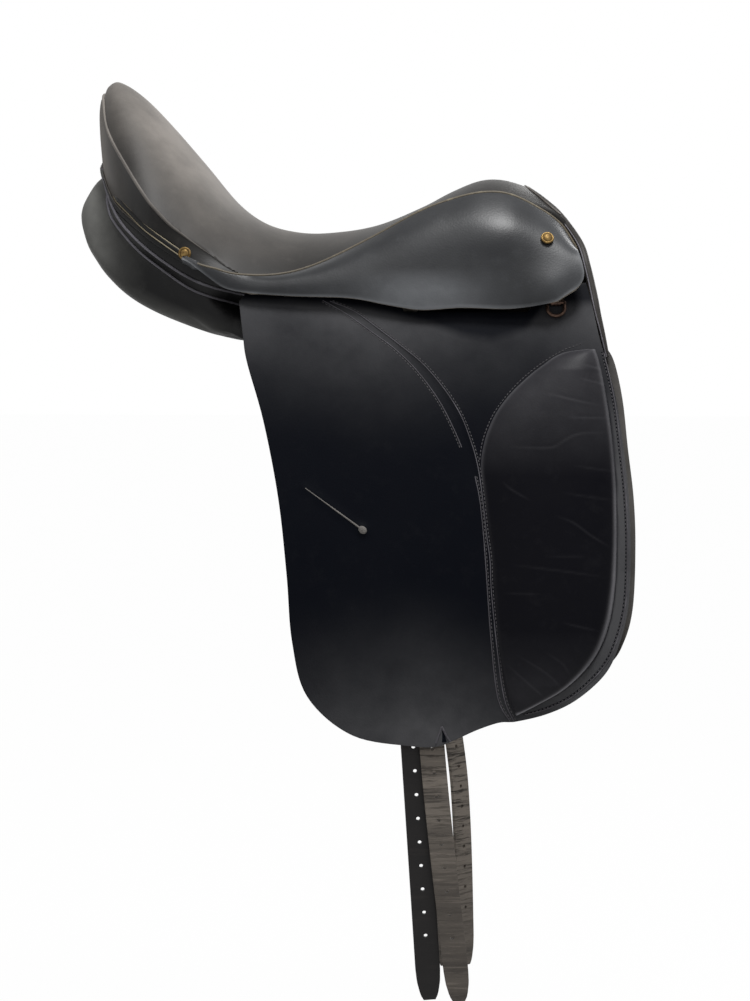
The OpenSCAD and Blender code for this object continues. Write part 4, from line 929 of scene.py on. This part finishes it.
# Girth straps: punched harness leather hanging from studs
# Each strap's length, twist in degrees, how far forward it hangs on its way down, and where it is rubbed
STRAPS = {("right", "rear"): (642, 0, [(0, 0), (642, 0)], ([-640, 0], [0, 0])),
          ("right", "front"): (642, 0, [(0, 0), (395, -5), (640, 5)], ([-600, -500, -400], [0.05, 0.3, 0.7])),
          ("left", "rear"): (712, 0, [(0, 0), (395, -14), (520, -14), (712, -10)],
                             ([-700, -600, -520, -380], [0.1, 0.4, 0.7, 0.6])),
          ("left", "front"): (712, 52, [(0, 0), (395, -15), (520, -9), (712, -12)],
                              ([-700, -600, -520, -380], [0.2, 0.6, 0.9, 0.7]))}
LEAN = math.radians(3.75)
ACROSS = np.array([-1, -0.85, -0.5, -0.16, 0, 0.16, 0.5, 0.85, 1])
for (side, row), (length, twist, hang, wear) in STRAPS.items():
    top_x, outer = (50, REAR_OUT) if row == "rear" else (72, FRONT_OUT)
    flip = np.array([1, 1 if side == "left" else -1, 1])
    holes = [length - 62 - 22 * k for k in range(9)]
    marks = [m for h in holes for m in (h - 1.9, h, h + 1.9)]
    plain = [m for m in np.linspace(-11, length, int(length / 4)) if min(abs(m - h) for h in holes) > 4]
    runs = np.array(sorted(marks + plain))
    v, u = np.meshgrid(runs, ACROSS, indexing="ij")
    half = np.interp(v, [-11, -8, -3, 4, length - 30, length - 18, length - 8, length - 2, length],
                     [3, 8, 11, STRAP_W / 2, STRAP_W / 2, 10.8, 8.8, 7, 5.5])
    a = u * half
    centres = [(int(np.abs(runs - h).argmin()), 4) for h in holes]
    for r, c in centres:
        for dr in (-1, 1):
            for dc in (-1, 1):
                a[r + dr, c + dc] *= 0.72
                v[r + dr, c + dc] = v[r, c] + (v[r + dr, c + dc] - v[r, c]) * 0.72
    turn = math.radians(twist) * ramp(v, 400, 460)
    bm, faces = bmesh.new(), []
    for h in (STRAP_T / 2, -STRAP_T / 2):
        b = a * np.cos(turn) - h * np.sin(turn)
        x = top_x + b * math.cos(LEAN) + v * math.sin(LEAN) + fair(v, hang)
        z = 5 + b * math.sin(LEAN) - v * math.cos(LEAN)
        faces.append(add_grid(bm, on_side(x, z, outer - STRAP_T / 2 + a * np.sin(turn) + h * np.cos(turn)) * flip))
    bmesh.ops.delete(bm, geom=[g[place] for g in faces for place in centres], context="VERTS")
    for r, c in centres:
        ring = {g[r + i, c + j] for g in faces for i in (-1, 0, 1) for j in (-1, 0, 1) if i or j}
        bmesh.ops.bridge_loops(bm, edges=[e for e in bm.edges if e.is_boundary and set(e.verts) <= ring])
    rim = [e for e in bm.edges if e.is_boundary]
    bmesh.ops.bridge_loops(bm, edges=rim)
    bmesh.ops.recalc_face_normals(bm, faces=bm.faces)
    round_edge(bm, rim, 0.9)
    # The near rear strap takes the darker leather as painted shade; the others take the rubbed grey
    tone = strap_dark if (side, row) == ("right", "rear") else strap_grey
    strap = piece(f"girth_strap_{side}_{row}", bm, [tone], f"strap_{side}_{row}",
                  rub=lambda p: np.interp(p[:, 2], *wear))
    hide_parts(f"strap_{side}_{row}")


# Linen webs strained over the springs under the seat
def web(xs, down):
    x, t = np.meshgrid(xs, np.linspace(-0.5, 0.5, 25), indexing="ij")
    base = np.stack([x, t * seat_half(x), seat_z(x, t) - SEAT_T - 2 * GAP - FOAM_T * fair(x, FOAM)], -1)
    return base - [0, 0, down], base - [0, 0, down + WEB_T]


def area_of(points):
    a, b = points[1:, :-1] - points[:-1, :-1], points[:-1, 1:] - points[:-1, :-1]
    return np.linalg.norm(np.cross(a, b), axis=-1).sum() * MM**2


face, back = web(np.linspace(-187, 152, 90), 0)
strainer = piece("strainer_web_linen", shell(face, back), [linen_web], "tree")
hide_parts("strainer_web")
bm, area, wide = bmesh.new(), 0, 0
for a, b in ((-108, -78), (-48, -8), (48, 72)):
    face, back = web(np.linspace(a, b, 12), WEB_T + GAP)
    join(bm, shell(face, back))
    area, wide = area + area_of(face), wide + length_of(face[:, 12]) * MM
bands = piece("cross_webs_linen", bm, [linen_web], "tree")
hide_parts("cross_webs")

# Brass nails with a ringed head
nail_points = np.array([v.co[:] for v in frame["nodes"]["saddle_nails"].data.vertices]) / MM
profile = np.array([(0, 3.2), (1.8, 3.1), (3.2, 2.6), (3.9, 1.9), (4.3, 1.5), (4.7, 1.8), (5.3, 2.1), (5.8, 1.8),
                    (6.2, 1), (6.2, 0), (3, 0), (0, 0)])
bm = bmesh.new()
for fore in (-1, 1):
    for s in (-1, 1):
        own = nail_points[(nail_points[:, 0] * fore > 0) & (nail_points[:, 1] * s > 0)]
        mid = (own.min(0) + own.max(0)) / 2
        axes = np.linalg.svd(own - own.mean(0), full_matrices=False)[2]
        out = axes[2] * np.sign(axes[2][1] * s)
        base = mid + out * ((own - mid) @ out).min()
        a = np.linspace(0, 2 * math.pi, 33)
        add_grid(bm, base + profile[:, 1, None, None] * out
                 + profile[:, 0, None, None] * (np.cos(a)[:, None] * axes[0] + np.sin(a)[:, None] * axes[1]))
bmesh.ops.remove_doubles(bm, verts=bm.verts, dist=1e-5)
bmesh.ops.recalc_face_normals(bm, faces=bm.faces)
nails = piece("brass_nails", bm, [old_brass], "tree", crisp=60)
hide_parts("saddle_nails")

# Finishes of the pieces that keep their solids
slot_of = {p["node"]: p["material_slot"] for p in frame["record"]["subparts"]}
for name, obj in frame["nodes"].items():
    if not obj.hide_render and slot_of.get(name) in FINISH_OF_SLOT:
        obj.data.materials.clear()
        obj.data.materials.append(FINISH_OF_SLOT[slot_of[name]])


# Floor, light and camera

def seen_directly(tree):
    """1 for the rays that show the background: those of the camera, reflections and glass."""
    ray = add(tree, "LightPath")
    seen = add(tree, "Math", {}, {0: ray.outputs["Is Camera Ray"], 1: ray.outputs["Is Glossy Ray"]},
               operation="MAXIMUM")
    return add(tree, "Math", {}, {0: seen, 1: ray.outputs["Is Transmission Ray"]}, operation="MAXIMUM")


m, t = finish("pale_floor")
white = add(t, "Emission", {"Color": linear("#ffffff"), "Strength": 1})
matt = add(t, "BsdfDiffuse", {"Color": linear("#e8e8e8")})
share = add(t, "Math", {1: 0.985}, {0: seen_directly(t)}, operation="MULTIPLY")
both = add(t, "MixShader", {}, {0: share, 1: matt, 2: white})
add(t, "OutputMaterial", {}, {"Surface": both})
bm = bmesh.new()
bmesh.ops.create_grid(bm, x_segments=1, y_segments=1, size=20)
bmesh.ops.translate(bm, verts=bm.verts, vec=(0, 0, -0.79))
piece("floor", bm, [m])

world = bpy.data.worlds.new("studio")
scene.world = world
world.use_nodes = True
t = world.node_tree
t.nodes.clear()
level = add(t, "MapRange", {"To Min": 0.3, "To Max": 1}, {"Value": seen_directly(t)})
sky = add(t, "Background", {"Color": linear("#ffffff")}, {"Strength": level})
add(t, "OutputWorld", {}, {"Surface": sky})

for name, place, aim, size, power in (("overhead", (0.4, -0.55, 1.5), (0, 0, 0), (0.5, 0.45), 27),
                                      ("front", (-0.2, -1.7, 1.75), (0, 0, -0.1), (1.4, 0.5), 5),
                                      ("behind", (0.9, 1.5, 0.75), (-0.1, 0, 0.1), (1.0, 0.9), 12)):
    lamp = bpy.data.lights.new(name, "AREA")
    lamp.shape, lamp.size, lamp.size_y, lamp.energy = "RECTANGLE", size[0], size[1], power
    obj = bpy.data.objects.new(name, lamp)
    obj.location = place
    obj.rotation_euler = (Vector(aim) - Vector(place)).to_track_quat("-Z", "Y").to_euler()
    scene.collection.objects.link(obj)

# The photograph's view: 5 degrees to the front, 4 above, long lens, picture 750 by 1001
lens = bpy.data.cameras.new("camera")
lens.sensor_width, lens.lens = 36, 36 * 2400 / 1001
camera = bpy.data.objects.new("camera", lens)
az, el = math.radians(5), math.radians(4)
back = Vector((math.sin(az) * math.cos(el), -math.cos(az) * math.cos(el), math.sin(el)))
camera.location = Vector((0.045, 0, -0.185)) + 2.4 * back
camera.rotation_euler = (-back).to_track_quat("-Z", "Y").to_euler()
scene.collection.objects.link(camera)
scene.camera = camera
scene.view_settings.view_transform = "Standard"

bpy.context.view_layer.update()
